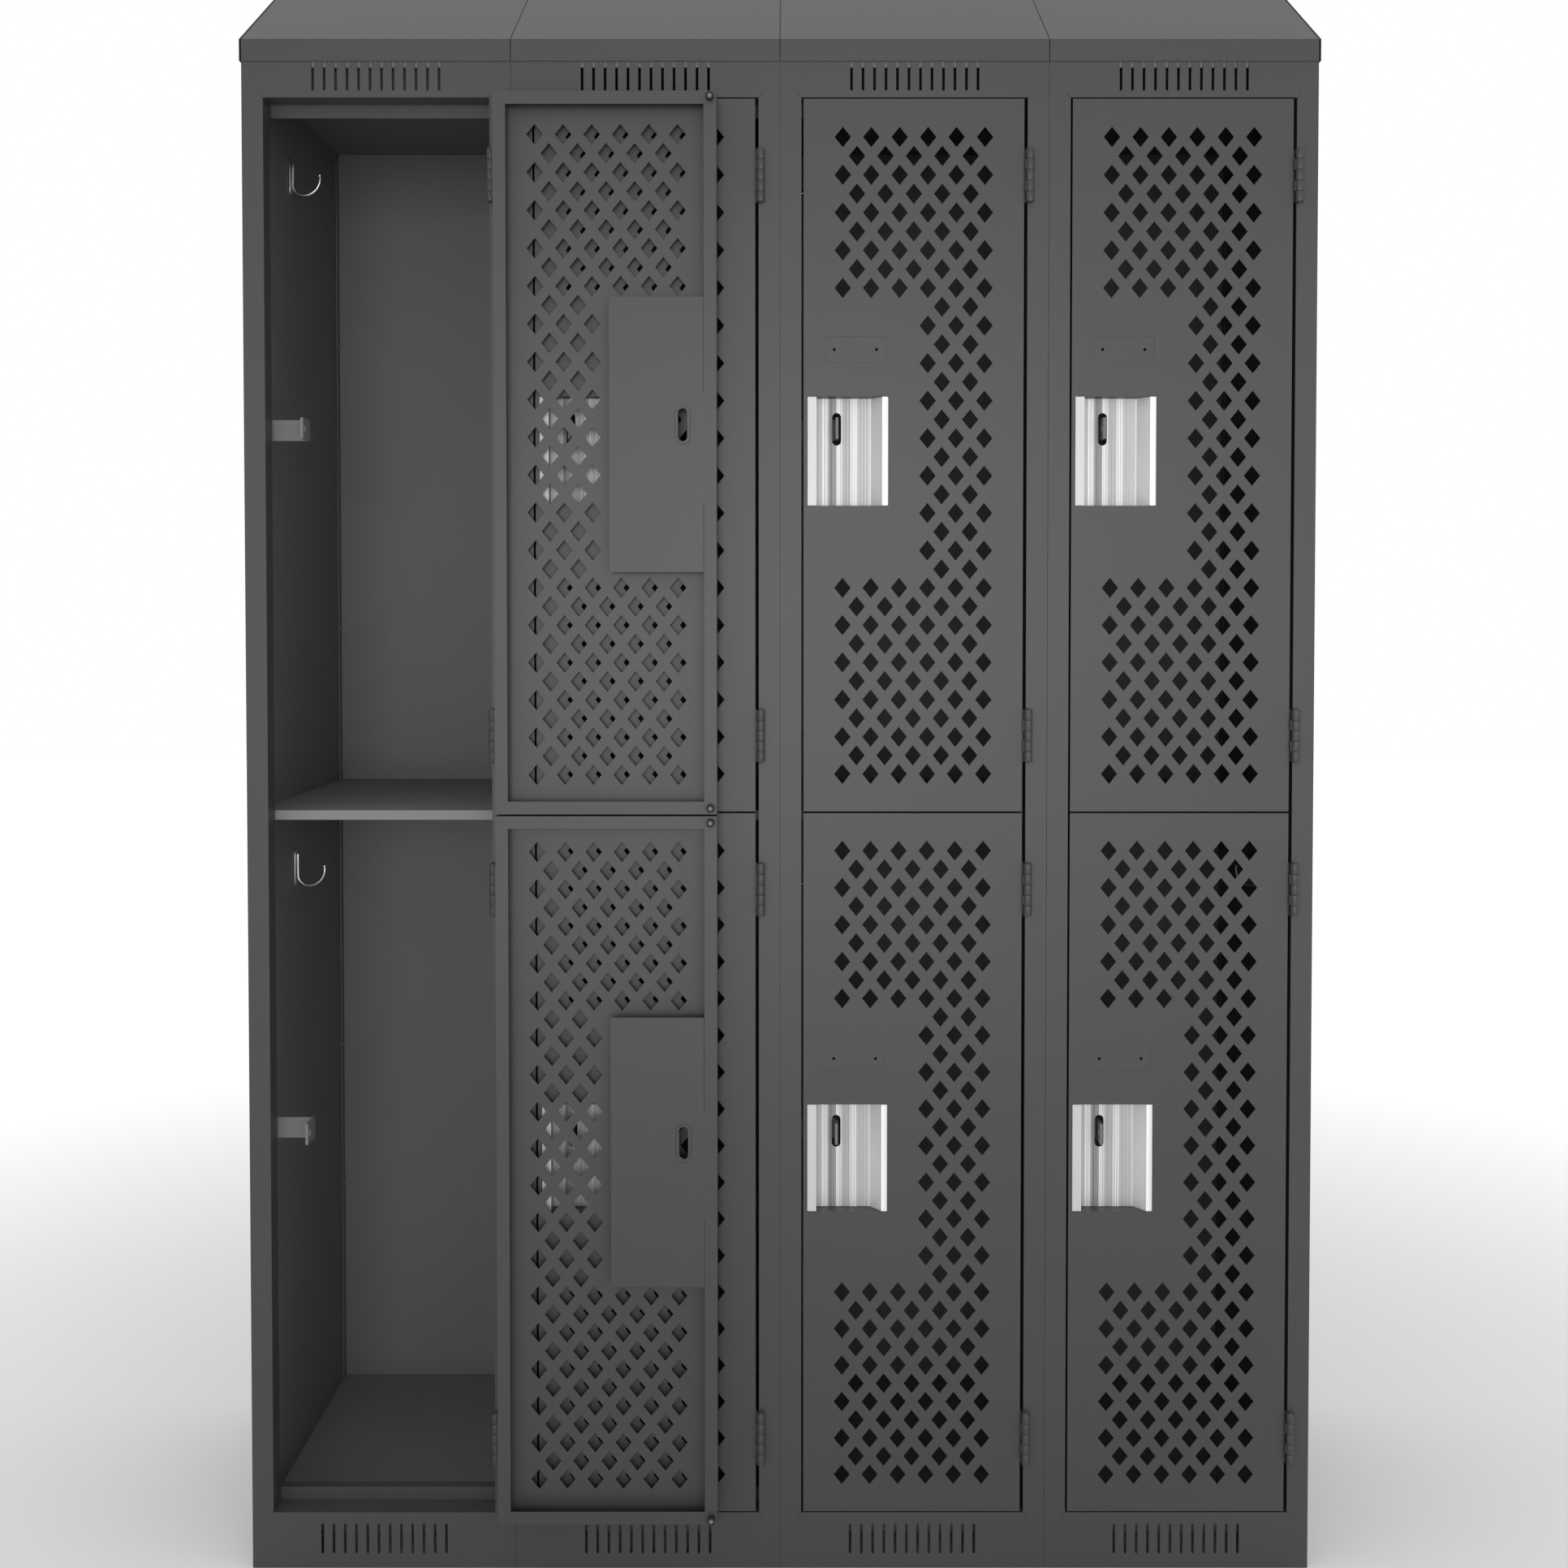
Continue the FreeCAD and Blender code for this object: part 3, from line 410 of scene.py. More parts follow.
@dataclass(frozen=True)
class DrawnAluminium:
    """Satin aluminium extrusion: painted highlights and shade in bands across its width, and fine die lines
    along Z.
    """

    name: str = "pocket_aluminium"
    slot: str = "pocket_aluminium"
    roughness: float = 0.5
    painted_light_bands: tuple[tuple[float, float], ...] = (
        (0.0, 0.5), (0.1, 0.5), (0.115, 0.56), (0.125, 0.36), (0.19, 0.4), (0.195, 0.75),
        (0.205, 0.75), (0.21, 0.4), (0.225, 0.75), (0.235, 0.4), (0.25, 0.75), (0.26, 0.38),
        (0.285, 0.2), (0.36, 0.24), (0.375, 0.75), (0.385, 0.38), (0.4, 0.75), (0.41, 0.38),
        (0.43, 0.6), (0.45, 0.36), (0.54, 0.4), (0.55, 0.75), (0.56, 0.34), (0.58, 0.75),
        (0.59, 0.38), (0.61, 0.75), (0.62, 0.4), (0.78, 0.44), (0.8, 0.85), (0.93, 0.85),
        (1.0, 0.6))

    def build(self, groups: GroupLibrary) -> bpy.types.Material:
        """Build the material.

        Args:
            groups: the library of shared groups.

        Returns:
            The finished material.
        """
        sketch = MaterialSketch(self.name, groups)
        place = sketch.tree.nodes.new("ShaderNodeAttribute")
        place.attribute_name = ACROSS
        # The ramp paints highlights and shade as light and dark bands across the pocket, counted from its
        # free edge.
        ramp = sketch.tree.nodes.new("ShaderNodeValToRGB")
        points = ramp.color_ramp.elements
        points.remove(points[1])
        for index, (share, shade) in enumerate(self.painted_light_bands):
            point = points[index] if index < 1 else points.new(share)
            point.position = share
            point.color = (shade, shade, shade * 1.01, 1.0)
        sketch.tree.links.new(place.outputs["Fac"], ramp.inputs["Fac"])
        lines = sketch.group(Shared.SCUFF, Amount=1.0, Across=1500.0, Along=3.0)
        tone = sketch.group(Shared.DRIFT, Scale=14.0, Amount=0.10)
        dim = sketch.math("SUBTRACT", tone, sketch.math("MULTIPLY", lines, 0.12))
        scale = sketch.tree.nodes.new("ShaderNodeVectorMath")
        scale.operation = "SCALE"
        sketch.tree.links.new(ramp.outputs["Color"], scale.inputs[0])
        sketch.tree.links.new(dim, scale.inputs["Scale"])
        sketch.feed("Base Color", scale.outputs[0])
        sketch.feed("Metallic", 0.6)
        sketch.feed("Roughness", sketch.math("ADD", sketch.math("MULTIPLY", lines, 0.16), self.roughness))
        sketch.bump(lines, 0.2, 0.00005)
        return sketch.material


@dataclass(frozen=True)
class ZincPlate:
    """Bright zinc plate with a faint mottled passivation."""

    name: str = "zinc_plate"
    slot: str = "zinc_steel"
    colour: Colour = (0.62, 0.62, 0.60)
    roughness: float = 0.3

    def build(self, groups: GroupLibrary) -> bpy.types.Material:
        """Build the material.

        Args:
            groups: the library of shared groups.

        Returns:
            The finished material.
        """
        sketch = MaterialSketch(self.name, groups)
        tone = sketch.group(Shared.DRIFT, Scale=160.0, Amount=0.35)
        scuff = sketch.group(Shared.SCUFF, Amount=0.5, Across=320.0, Along=120.0)
        shade = sketch.mix(scuff, sketch.toned(self.colour, tone), (0.78, 0.78, 0.76))
        sketch.feed("Base Color", shade)
        sketch.feed("Metallic", 1.0)
        sketch.feed("Roughness", sketch.math("MULTIPLY", tone, self.roughness))
        sketch.bump(sketch.group(Shared.PEEL, Scale=1500.0, Swell=0.1), 0.15, 0.00005)
        return sketch.material


@dataclass(frozen=True)
class Rubber:
    """Matt moulded rubber with a fine grain and a little bloom."""

    name: str
    slot: str
    colour: Colour
    roughness: float = 0.75

    def build(self, groups: GroupLibrary) -> bpy.types.Material:
        """Build the material.

        Args:
            groups: the library of shared groups.

        Returns:
            The finished material.
        """
        sketch = MaterialSketch(self.name, groups)
        bloom = sketch.group(Shared.SCUFF, Amount=0.35, Across=240.0, Along=240.0)
        pale = tuple(part + 0.06 for part in self.colour)
        sketch.feed("Base Color", sketch.mix(bloom, self.colour, pale))
        sketch.feed("Roughness", sketch.math("ADD", sketch.math("MULTIPLY", bloom, 0.15), self.roughness))
        sketch.bump(sketch.group(Shared.PEEL, Scale=2200.0, Swell=0.2), 0.4, 0.00008)
        return sketch.material


@dataclass(frozen=True)
class StudioFloor:
    """Matt pale floor with a barely visible unevenness.

    To the eye alone it fades with distance into the white around it, so no horizon shows.
    """

    name: str = "studio_floor"
    colour: Colour = (0.86, 0.86, 0.86)
    fade_from: float = 0.7
    fade_to: float = 3.2
    lift: float = 0.4

    def build(self, groups: GroupLibrary) -> bpy.types.Material:
        """Build the material.

        Args:
            groups: the library of shared groups.

        Returns:
            The finished material.
        """
        sketch = MaterialSketch(self.name, groups)
        tone = sketch.group(Shared.DRIFT, Scale=1.5, Amount=0.02)
        sketch.feed("Base Color", sketch.toned(self.colour, tone))
        sketch.feed("Roughness", 0.8)
        place = sketch.tree.nodes.new("ShaderNodeTexCoord")
        away = sketch.tree.nodes.new("ShaderNodeVectorMath")
        away.operation = "LENGTH"
        sketch.tree.links.new(place.outputs["Object"], away.inputs[0])
        fade = sketch.tree.nodes.new("ShaderNodeMapRange")
        fade.interpolation_type = "SMOOTHSTEP"
        fade.inputs["From Min"].default_value = self.fade_from
        fade.inputs["From Max"].default_value = self.fade_to
        sketch.tree.links.new(away.outputs["Value"], fade.inputs["Value"])
        rays = sketch.tree.nodes.new("ShaderNodeLightPath")
        seen = sketch.math("MULTIPLY", fade.outputs["Result"], rays.outputs["Is Camera Ray"])
        sketch.feed("Emission Strength", sketch.math("MULTIPLY", seen, self.lift))
        return sketch.material


class Finish(Enum):
    """Every finish of the bank."""

    FRAME = PowderCoat("frame_powder_coat", "frame_paint", (0.042, 0.042, 0.0402))
    DOOR = PowderCoat("door_powder_coat", "door_paint", (0.042, 0.042, 0.0402), scuffs=0.08)
    # Carcass paint: its own green-grey tone, lightened past it as painted light that stands in for light
    # inside the bays.
    CARCASS_WITH_PAINTED_LIGHT = PowderCoat("carcass_coat_with_painted_light", "carcass_paint", (0.135, 0.144, 0.139), 0.55, 0.15, 0.12)
    # Tray paint: the carcass paint made about a third lighter for the up-facing shelves and floor pans, as
    # painted light.
    TRAY_PAINTED_LIGHT = PowderCoat("tray_coat_painted_light", "carcass_paint", (0.180, 0.190, 0.184), 0.55, 0.30, 0.12)
    ALUMINIUM = DrawnAluminium()
    ZINC = ZincPlate()
    RUBBER = Rubber("bumper_rubber", "bumper_rubber", (0.012, 0.012, 0.012))
    BUMPER_CORE = Rubber("bumper_core", "bumper_rubber", (0.16, 0.16, 0.155), 0.6)
    FLOOR = StudioFloor()


class Wardrobe:
    """Hands out built materials and puts them on objects."""

    def __init__(self) -> None:
        """Start with an empty group library and no material."""
        self.groups = GroupLibrary()
        self.ready: dict[str, bpy.types.Material] = {}

    def material(self, finish: Finish) -> bpy.types.Material:
        """Return a finish's material, building it once.

        Args:
            finish: the finish that is wanted.

        Returns:
            The finish's material.
        """
        if finish.name not in self.ready:
            self.ready[finish.name] = finish.value.build(self.groups)
        return self.ready[finish.name]

    def dress(self, piece: bpy.types.Object, finish: Finish) -> None:
        """Give an object one finish in place of whatever it had.

        Args:
            piece: the object.
            finish: its new finish.
        """
        piece.data.materials.clear()
        piece.data.materials.append(self.material(finish))


# ---------------------------------------------------------------------------------------------
# Surfaces worked out as whole arrays
# ---------------------------------------------------------------------------------------------


def unit(vector: np.ndarray) -> np.ndarray:
    """Scale vectors to length 1 along the last axis.

    Args:
        vector: one vector, or an array of them.

    Returns:
        The unit vectors, in the same shape.
    """
    return vector / np.linalg.norm(vector, axis=-1, keepdims=True)


def grid_faces(rows: int, columns: int, closed: bool) -> np.ndarray:
    """Return the quads of a grid of rows by columns vertices.

    Face (i, j) joins vertices (i, j), (i, j+1), (i+1, j+1) and (i+1, j), and where the grid is
    closed the last column joins the first.

    Args:
        rows: the vertices along the path.
        columns: the vertices round the section.
        closed: whether the section is a loop.

    Returns:
        An array of quads, one row of four indices each.
    """
    spans = columns if closed else columns - 1
    row, column = np.meshgrid(np.arange(rows - 1), np.arange(spans), indexing="ij")
    following = (column + 1) % columns
    quads = np.stack([row * columns + column, row * columns + following,
                      (row + 1) * columns + following, (row + 1) * columns + column], axis=-1)
    return quads.reshape(-1, 4)


def mesh_object(name: str, points: np.ndarray, faces: list[list[int]],
                smooth: bool = True) -> bpy.types.Object:
    """Make a linked mesh object from vertices and faces.

    Args:
        name: the object's name.
        points: an array of n by 3 coordinates in metres.
        faces: the faces' vertex indices.
        smooth: whether the faces are shaded smooth.

    Returns:
        The new object, at the origin.
    """
    mesh = bpy.data.meshes.new(name)
    mesh.from_pydata(points.reshape(-1, 3).tolist(), [], faces)
    mesh.validate()
    mesh.polygons.foreach_set("use_smooth", np.full(len(mesh.polygons), smooth))
    mesh.update()
    piece = bpy.data.objects.new(name, mesh)
    bpy.context.scene.collection.objects.link(piece)
    return piece


def turned(profile: np.ndarray, centre: np.ndarray, axis: np.ndarray, sides: int) -> Surface:
    """Return the surface of a profile turned about an axis.

    Point (i, j) is centre + axis * height_i + radius_i * (u cos t_j + v sin t_j), where u and v
    are two unit vectors square to the axis and t_j runs once round.

    Args:
        profile: rows of (radius, height), from one pole to the other.
        centre: the point on the axis at height 0.
        axis: the axis's unit vector.
        sides: the number of steps round.

    Returns:
        The vertices and the quads.
    """
    helper = UP if abs(axis[2]) < 0.9 else np.array([1.0, 0.0, 0.0])
    across = unit(np.cross(helper, axis))
    other = np.cross(axis, across)
    turn = np.linspace(0.0, 2.0 * math.pi, sides, endpoint=False)
    ring = np.cos(turn)[:, None] * across + np.sin(turn)[:, None] * other
    points = centre + profile[:, 1, None, None] * axis + profile[:, 0, None, None] * ring[None]
    return points.reshape(-1, 3), grid_faces(len(profile), sides, True)


def swept(path: np.ndarray, radius: float, sides: int) -> Surface:
    """Return a round wire along a flat path with domed ends.

    Each ring stands square to the path: its point j is path_i + r_i (n_i cos t_j + b sin t_j),
    with n_i the in-plane normal and b the plane's normal. Past each end, four more rings follow
    a quarter circle down to a small tip.

    Args:
        path: rows of points in order.
        radius: the wire's radius in metres.
        sides: the number of steps round.

    Returns:
        The vertices and the quads.
    """
    tangent = unit(np.gradient(path, axis=0))
    plane = unit(np.cross(tangent[0], tangent[-1] + np.array([1e-6, 2e-6, 3e-6])))
    dome = np.linspace(0.5 * math.pi, 0.06, 5)[1:]
    head = path[0] - tangent[0] * radius * np.cos(dome[::-1])[:, None]
    tail = path[-1] + tangent[-1] * radius * np.cos(dome)[:, None]
    centres = np.concatenate([head, path, tail])
    sizes = radius * np.concatenate([np.sin(dome[::-1]), np.ones(len(path)), np.sin(dome)])
    along = np.concatenate([np.repeat(tangent[:1], 4, 0), tangent, np.repeat(tangent[-1:], 4, 0)])
    normal = np.cross(plane, along)
    turn = np.linspace(0.0, 2.0 * math.pi, sides, endpoint=False)
    ring = (np.cos(turn)[None, :, None] * normal[:, None] + np.sin(turn)[None, :, None] * plane)
    points = centres[:, None] + sizes[:, None, None] * ring
    return points.reshape(-1, 3), grid_faces(len(centres), sides, True)


def gathered(name: str, pieces: list[Surface], caps: int) -> bpy.types.Object:
    """Join surfaces of revolution or wires into one object, with a cap on each end ring.

    Args:
        name: the object's name.
        pieces: each surface's vertices and quads.
        caps: the number of vertices in a surface's end rings.

    Returns:
        The joined object.
    """
    points: list[np.ndarray] = []
    faces: list[list[int]] = []
    start = 0
    for vertices, quads in pieces:
        faces += (quads + start).tolist()
        last = start + len(vertices)
        faces.append(list(range(start + caps - 1, start - 1, -1)))
        faces.append(list(range(last - caps, last)))
        points.append(vertices)
        start = last
    piece = mesh_object(name, np.concatenate(points), faces)
    fix_normals(piece)
    return piece


def fix_normals(piece: bpy.types.Object) -> None:
    """Turn every face of a closed mesh outwards.

    Args:
        piece: the object whose mesh is mended.
    """
    build = bmesh.new()
    build.from_mesh(piece.data)
    bmesh.ops.recalc_face_normals(build, faces=build.faces)
    build.to_mesh(piece.data)
    build.free()


def softened(node: str, source: bpy.types.Object, radius: float) -> bpy.types.Object:
    """Copy a node's mesh, merge its loose triangles and round its folded edges.

    Args:
        node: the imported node's name.
        source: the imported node's object.
        radius: the radius of the rounded edge, in metres.

    Returns:
        The softened copy, which isn't on a body yet.
    """
    mesh = source.data.copy()
    mesh.name = f"{node}_soft"
    build = bmesh.new()
    build.from_mesh(mesh)
    bmesh.ops.remove_doubles(build, verts=build.verts, dist=1e-6)
    for face in build.faces:
        face.smooth = False
    bmesh.ops.dissolve_limit(build, angle_limit=math.radians(1.0), verts=build.verts,
                             edges=build.edges)
    for edge in build.edges:
        turn = edge.calc_face_angle(0.0)
        if FLAT_TURN < turn < FOLD_TURN:
            for face in edge.link_faces:
                face.smooth = True
    build.to_mesh(mesh)
    build.free()
    piece = bpy.data.objects.new(f"{node}_soft", mesh)
    bpy.context.scene.collection.objects.link(piece)
    bevel = piece.modifiers.new("rounded_edges", "BEVEL")
    bevel.width = radius
    bevel.segments = 2
    bevel.limit_method = "ANGLE"
    bevel.angle_limit = FOLD_TURN
    return piece


def solids_of(source: bpy.types.Object) -> list[Corners]:
    """Return the lowest and highest corner of each separate solid of an object.

    Args:
        source: the object whose loose parts are wanted.

    Returns:
        One pair of corners for each solid.
    """
    build = bmesh.new()
    build.from_mesh(source.data)
    bmesh.ops.remove_doubles(build, verts=build.verts, dist=1e-6)
    build.verts.index_update()
    links = np.array([[edge.verts[0].index, edge.verts[1].index] for edge in build.edges])
    places = np.array([vertex.co[:] for vertex in build.verts])
    build.free()
    label = np.arange(len(places))
    while True:
        lowest = np.minimum(label[links[:, 0]], label[links[:, 1]])
        before = label.copy()
        np.minimum.at(label, links[:, 0], lowest)
        np.minimum.at(label, links[:, 1], lowest)
        label = label[label]
        if np.array_equal(before, label):
            break
    return [(places[label == key].min(0), places[label == key].max(0)) for key in np.unique(label)]


@dataclass
class Assembly:
    """What every sub-assembly shares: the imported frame, its wardrobe and the pieces it made."""

    frame: dict[str, Any]
    wardrobe: Wardrobe
    made: list[str] = field(default_factory=list)

    def keep(self, piece: bpy.types.Object, body: str, finish: Finish, *nodes: str) -> bpy.types.Object:
        """Dress a piece, put it on its body and hide the nodes it stands for.

        Args:
            piece: the new object.
            body: the body that carries it.
            finish: its finish.
            *nodes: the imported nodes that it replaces.

        Returns:
            The same object.
        """
        self.wardrobe.dress(piece, finish)
        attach(piece, body)
        if nodes:
            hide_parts(*nodes)
        self.made.append(piece.name)
        LOG.info("%s: %s on %s", type(self).__name__, piece.name, body)
        return piece

    def soften(self, node: str, body: str, finish: Finish, radius: float) -> bpy.types.Object:
        """Replace a node by its softened copy.

        Args:
            node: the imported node.
            body: the body that carries it.
            finish: its finish.
            radius: the radius of its rounded edges.

        Returns:
            The copy.
        """
        return self.keep(softened(node, self.frame["nodes"][node], radius), body, finish, node)

    def solids(self, node: str) -> list[Corners]:
        """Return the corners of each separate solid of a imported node.

        Args:
            node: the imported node.

        Returns:
            The lowest and highest corner of each solid.
        """
        return solids_of(self.frame["nodes"][node])


@dataclass
class Carcass(Assembly):
    """Frames, hoods, panels, partitions, shelves, floors and backs."""

    edge: float = 0.4 * MM
    fold: float = 0.55 * MM
    columns: tuple[int, ...] = COLUMNS
    bend_above_ceiling: float = 17.0 * MM
    strip_width: float = 12.0 * MM
    strip_depths: tuple[float, float] = (1.6 * MM, 2.6 * MM)
    strip_start: float = 3.0 * MM
    strip_hem: float = 4.0 * MM

    def build(self) -> None:
        """Soften and dress every sheet of the carcass, and back the joints between the hoods."""
        seams = [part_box(f"slope_hood_{column}")[1][0] for column in self.columns[:-1]]
        strips = [self.seam_strip(seam) for seam in seams]
        self.keep(gathered("hood_seam_strips", strips, 6), "cabinet", Finish.FRAME)
        for column in self.columns:
            self.soften(f"face_frame_{column}", "cabinet", Finish.FRAME, self.edge)
            self.soften(f"slope_hood_{column}", "cabinet", Finish.FRAME, self.fold)
        self.soften("hood_ends", "cabinet", Finish.FRAME, self.edge)
        sides = self.soften("side_panels", "cabinet", Finish.FRAME, self.edge)
        # The inner faces of the side panels take the carcass paint, lightened as painted light.
        self.line(sides, Finish.CARCASS_WITH_PAINTED_LIGHT, lambda centre, normal: np.sign(centre[:, 0]) * normal[:, 0] < -0.5)
        for node in ("partitions", "top_panels"):
            self.soften(node, "cabinet", Finish.CARCASS_WITH_PAINTED_LIGHT, self.edge)
        # Shelves and floor pans take the tray paint, a lighter copy of the carcass paint that carries
        # painted light.
        for node in ("divider_shelves", "floor_pans"):
            self.soften(node, "cabinet", Finish.TRAY_PAINTED_LIGHT, self.edge)
        backs = self.soften("back_panels", "cabinet", Finish.CARCASS_WITH_PAINTED_LIGHT, self.edge)
        self.line(backs, Finish.FRAME, lambda centre, normal: normal[:, 1] > 0.5)

    def seam_strip(self, seam: float) -> Surface:
        """Return the strip that backs the joint between two hoods.

        It runs under the slope and down inside the rear skirt. A point of its slope at a depth d
        is the front bend plus t (cos a, sin a) plus d (sin a, -cos a), with a the slope's angle.

        Args:
            seam: the X of the joint.

        Returns:
            The vertices and the quads.
        """
        low, high = (np.array(corner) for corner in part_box("slope_hood_1"))
        rise = high[2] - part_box("top_panels")[1][2] - self.bend_above_ceiling
        angle = math.atan2(rise, high[1] - low[1])
        bend = np.array([low[1], high[2] - rise])
        along = np.array([math.cos(angle), math.sin(angle)])
        inward = np.array([math.sin(angle), -math.cos(angle)])
        back = np.array([high[1] - self.strip_depths[0], high[1] - self.strip_depths[1]])
        section = []
        for depth, wall in zip(self.strip_depths, back):
            foot = bend + inward * depth
            front = foot + along * self.strip_start
            reach = (wall - foot[0]) / along[0]
            section.append([front, foot + along * reach, np.array([wall, bend[1] - self.strip_hem])])
        outline = np.array(section[0] + section[1][::-1])
        half = self.strip_width / 2
        across = np.array([seam - half, seam + half])
        flat = np.broadcast_to(outline, (2, len(outline), 2))
        spread = np.broadcast_to(across[:, None, None], (2, len(outline), 1))
        points = np.concatenate([spread, flat], axis=-1)
        return points.reshape(-1, 3), grid_faces(2, len(outline), True)

    def line(self, piece: bpy.types.Object, finish: Finish, pick: Callable[..., np.ndarray]) -> None:
        """Give a second finish to the faces that a rule picks.

        Args:
            piece: the piece whose faces are split between two finishes.
            finish: the second finish.
            pick: takes the faces' centres and normals, and returns which ones are meant.
        """
        count = len(piece.data.polygons)
        centre = np.empty(count * 3)
        normal = np.empty(count * 3)
        piece.data.polygons.foreach_get("center", centre)
        piece.data.polygons.foreach_get("normal", normal)
        chosen = pick(centre.reshape(-1, 3), normal.reshape(-1, 3))
        piece.data.materials.append(self.wardrobe.material(finish))
        piece.data.polygons.foreach_set("material_index", chosen.astype(np.int32))


@dataclass
class Hinges(Assembly):
    """Frame leaves and the pins with their domed ends."""

    leaf_edge: float = 0.25 * MM
    pin_radius: float = 2.5 * MM
    dome: float = 1.1 * MM
    sides: int = 20

    def pin(self, foot: np.ndarray, length: float) -> Surface:
        """Return a pin's surface: a straight shank between two quarter-ellipse domes.

        Args:
            foot: the lowest point of the shank's axis.
            length: the pin's whole length.

        Returns:
            The vertices and the quads.
        """
        turn = np.linspace(0.08, 0.5 * math.pi, 5)
        low = np.stack([self.pin_radius * np.sin(turn), self.dome * (1.0 - np.cos(turn))], axis=1)
        high = np.stack([low[::-1, 0], length - low[::-1, 1]], axis=1)
        return turned(np.concatenate([low, high]), foot, UP, self.sides)

    def build(self) -> None:
        """Soften the frame leaves and turn one pin for each cluster of the pins' node."""
        self.soften("hinge_frame_leaves", "cabinet", Finish.FRAME, self.leaf_edge)
        pins: list[Surface] = []
        for low, high in self.solids("hinge_pins"):
            middle = (low + high) / 2
            foot = np.array([middle[0], middle[1], low[2]])
            pins.append(self.pin(foot, high[2] - low[2]))
        self.keep(gathered("hinge_pins_turned", pins, self.sides), "cabinet", Finish.FRAME, "hinge_pins")


def bay_side(across: float) -> float:
    """Return +1 where the middle of the bay round an X lies to its right, and -1 to its left.

    The bank is cut into equal bays between its outer side panels.

    Args:
        across: the X asked about, in metres.

    Returns:
        The sign of the way to the bay's middle.
    """
    width = 2.0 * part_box("side_panels")[1][0] / len(COLUMNS)
    middle = (math.floor(across / width) + 0.5) * width
    return math.copysign(1.0, middle - across)


@dataclass
class Fittings(Assembly):
    """Lock staples, coat hooks, rivets and hood screws."""

    staple_edge: float = 0.5 * MM
    wire: float = 1.9 * MM
    bend: float = 13.0 * MM
    spread: float = 20.4 * MM
    wall_gap: float = 3.7 * MM
    leg: float = 26.0 * MM
    leg_foot: float = 4.0 * MM
    tip: float = 2.7 * MM
    tip_turn: float = 2.06
    plate_half: tuple[float, float] = (7.0 * MM, 23.0 * MM)
    plate_sheet: float = 1.7 * MM
    sides: int = 14
    rim: int = 32

    def plate(self, low: np.ndarray, high: np.ndarray) -> Surface:
        """Return a hook's base plate, with round corners and a rounded front edge.

        The outline is the superellipse |y/a|^5 + |z/b|^5 = 1, drawn as
        (a sgn(cos t) |cos t|^0.4, b sgn(sin t) |sin t|^0.4) and drawn in a little at the front.

        Args:
            low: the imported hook's lowest corner.
            high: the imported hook's highest corner.

        Returns:
            The vertices and the quads.
        """
        side, wall = self.facing(low, high)
        turn = np.linspace(0.0, 2.0 * math.pi, self.rim, endpoint=False)
        across = self.plate_half[0] * np.sign(np.cos(turn)) * np.abs(np.cos(turn)) ** 0.4
        upward = self.plate_half[1] * np.sign(np.sin(turn)) * np.abs(np.sin(turn)) ** 0.4
        levels = np.array([[0.0, 1.0], [0.7, 1.0], [0.93, 0.975], [1.0, 0.93]])
        inset = (1.0 - levels[:, 1]) * self.plate_half[0]
        middle = np.array([(low[1] + high[1]) / 2, low[2] + self.wire + self.plate_half[1]])
        depth = np.broadcast_to((wall + side * self.plate_sheet * levels[:, 0])[:, None], (4, self.rim))
        lateral = middle[0] + across * (1.0 - inset[:, None] / self.plate_half[0])
        height = middle[1] + upward * (1.0 - inset[:, None] / self.plate_half[1])
        points = np.stack([depth, lateral, height], axis=-1)
        return points.reshape(-1, 3), grid_faces(len(levels), self.rim, True)

    @staticmethod
    def facing(low: np.ndarray, high: np.ndarray) -> tuple[float, float]:
        """Return which way a hook looks along X, and the X of the wall that it stands on.

        Args:
            low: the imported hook's lowest corner.
            high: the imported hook's highest corner.

        Returns:
            The sign along X and the wall's X in metres.
        """
        side = bay_side(float(low[0] + high[0]) / 2)
        return side, float(low[0] if side > 0 else high[0])

    @staticmethod
    def outward(middle: np.ndarray, axis_index: int) -> float:
        """Return which way along its axis a head looks: rivets into their bay, screws outwards.

        Args:
            middle: the head's middle.
            axis_index: 0, 1 or 2 for X, Y or Z.

        Returns:
            The sign along that axis.
        """
        if axis_index != 0:
            return 1.0
        if abs(middle[0]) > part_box("side_panels")[1][0]:
            return math.copysign(1.0, middle[0])
        return bay_side(middle[0])

    def hook(self, low: np.ndarray, high: np.ndarray) -> list[Surface]:
        """Return one coat hook: a wire swept round a small bend and a wide one, and its ball tip.

        From a straight leg on the wall, the path is c + r (cos t, sin t) with t from 1 to 1.5
        half turns about the small centre, then from 1.5 to 2.06 about the wide one, both in the
        upright plane square to the wall.

        Args:
            low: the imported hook's lowest corner.
            high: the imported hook's highest corner.

        Returns:
            The surfaces of the wire and of the ball.
        """
        middle = (low + high) / 2
        side, wall = self.facing(low, high)
        level = low[2] + self.bend + self.wire
        start = self.wall_gap + self.bend
        small = np.linspace(1.0, 1.5, 10) * math.pi
        wide = np.linspace(1.5, self.tip_turn, 16)[1:] * math.pi
        leg = np.stack([np.full(5, self.wall_gap), np.linspace(self.leg, self.leg_foot, 5)], axis=1)
        inner = np.stack([start + self.bend * np.cos(small), self.bend * np.sin(small)], axis=1)
        centre = self.spread - self.bend
        reach = start + self.spread * np.cos(wide)
        outer = np.stack([reach, centre + self.spread * np.sin(wide)], axis=1)
        flat = np.concatenate([leg, inner, outer])
        depth = np.full(len(flat), middle[1])
        path = np.stack([wall + side * flat[:, 0], depth, level + flat[:, 1]], axis=1)
        turn = np.linspace(math.pi - 0.05, 0.05, 9)
        ball = np.stack([self.tip * np.sin(turn), -self.tip * np.cos(turn)], axis=1)
        ball = ball[::-1] if ball[0, 1] > ball[-1, 1] else ball
        return [swept(path, self.wire, self.sides), turned(ball, path[-1], UP, self.sides)]

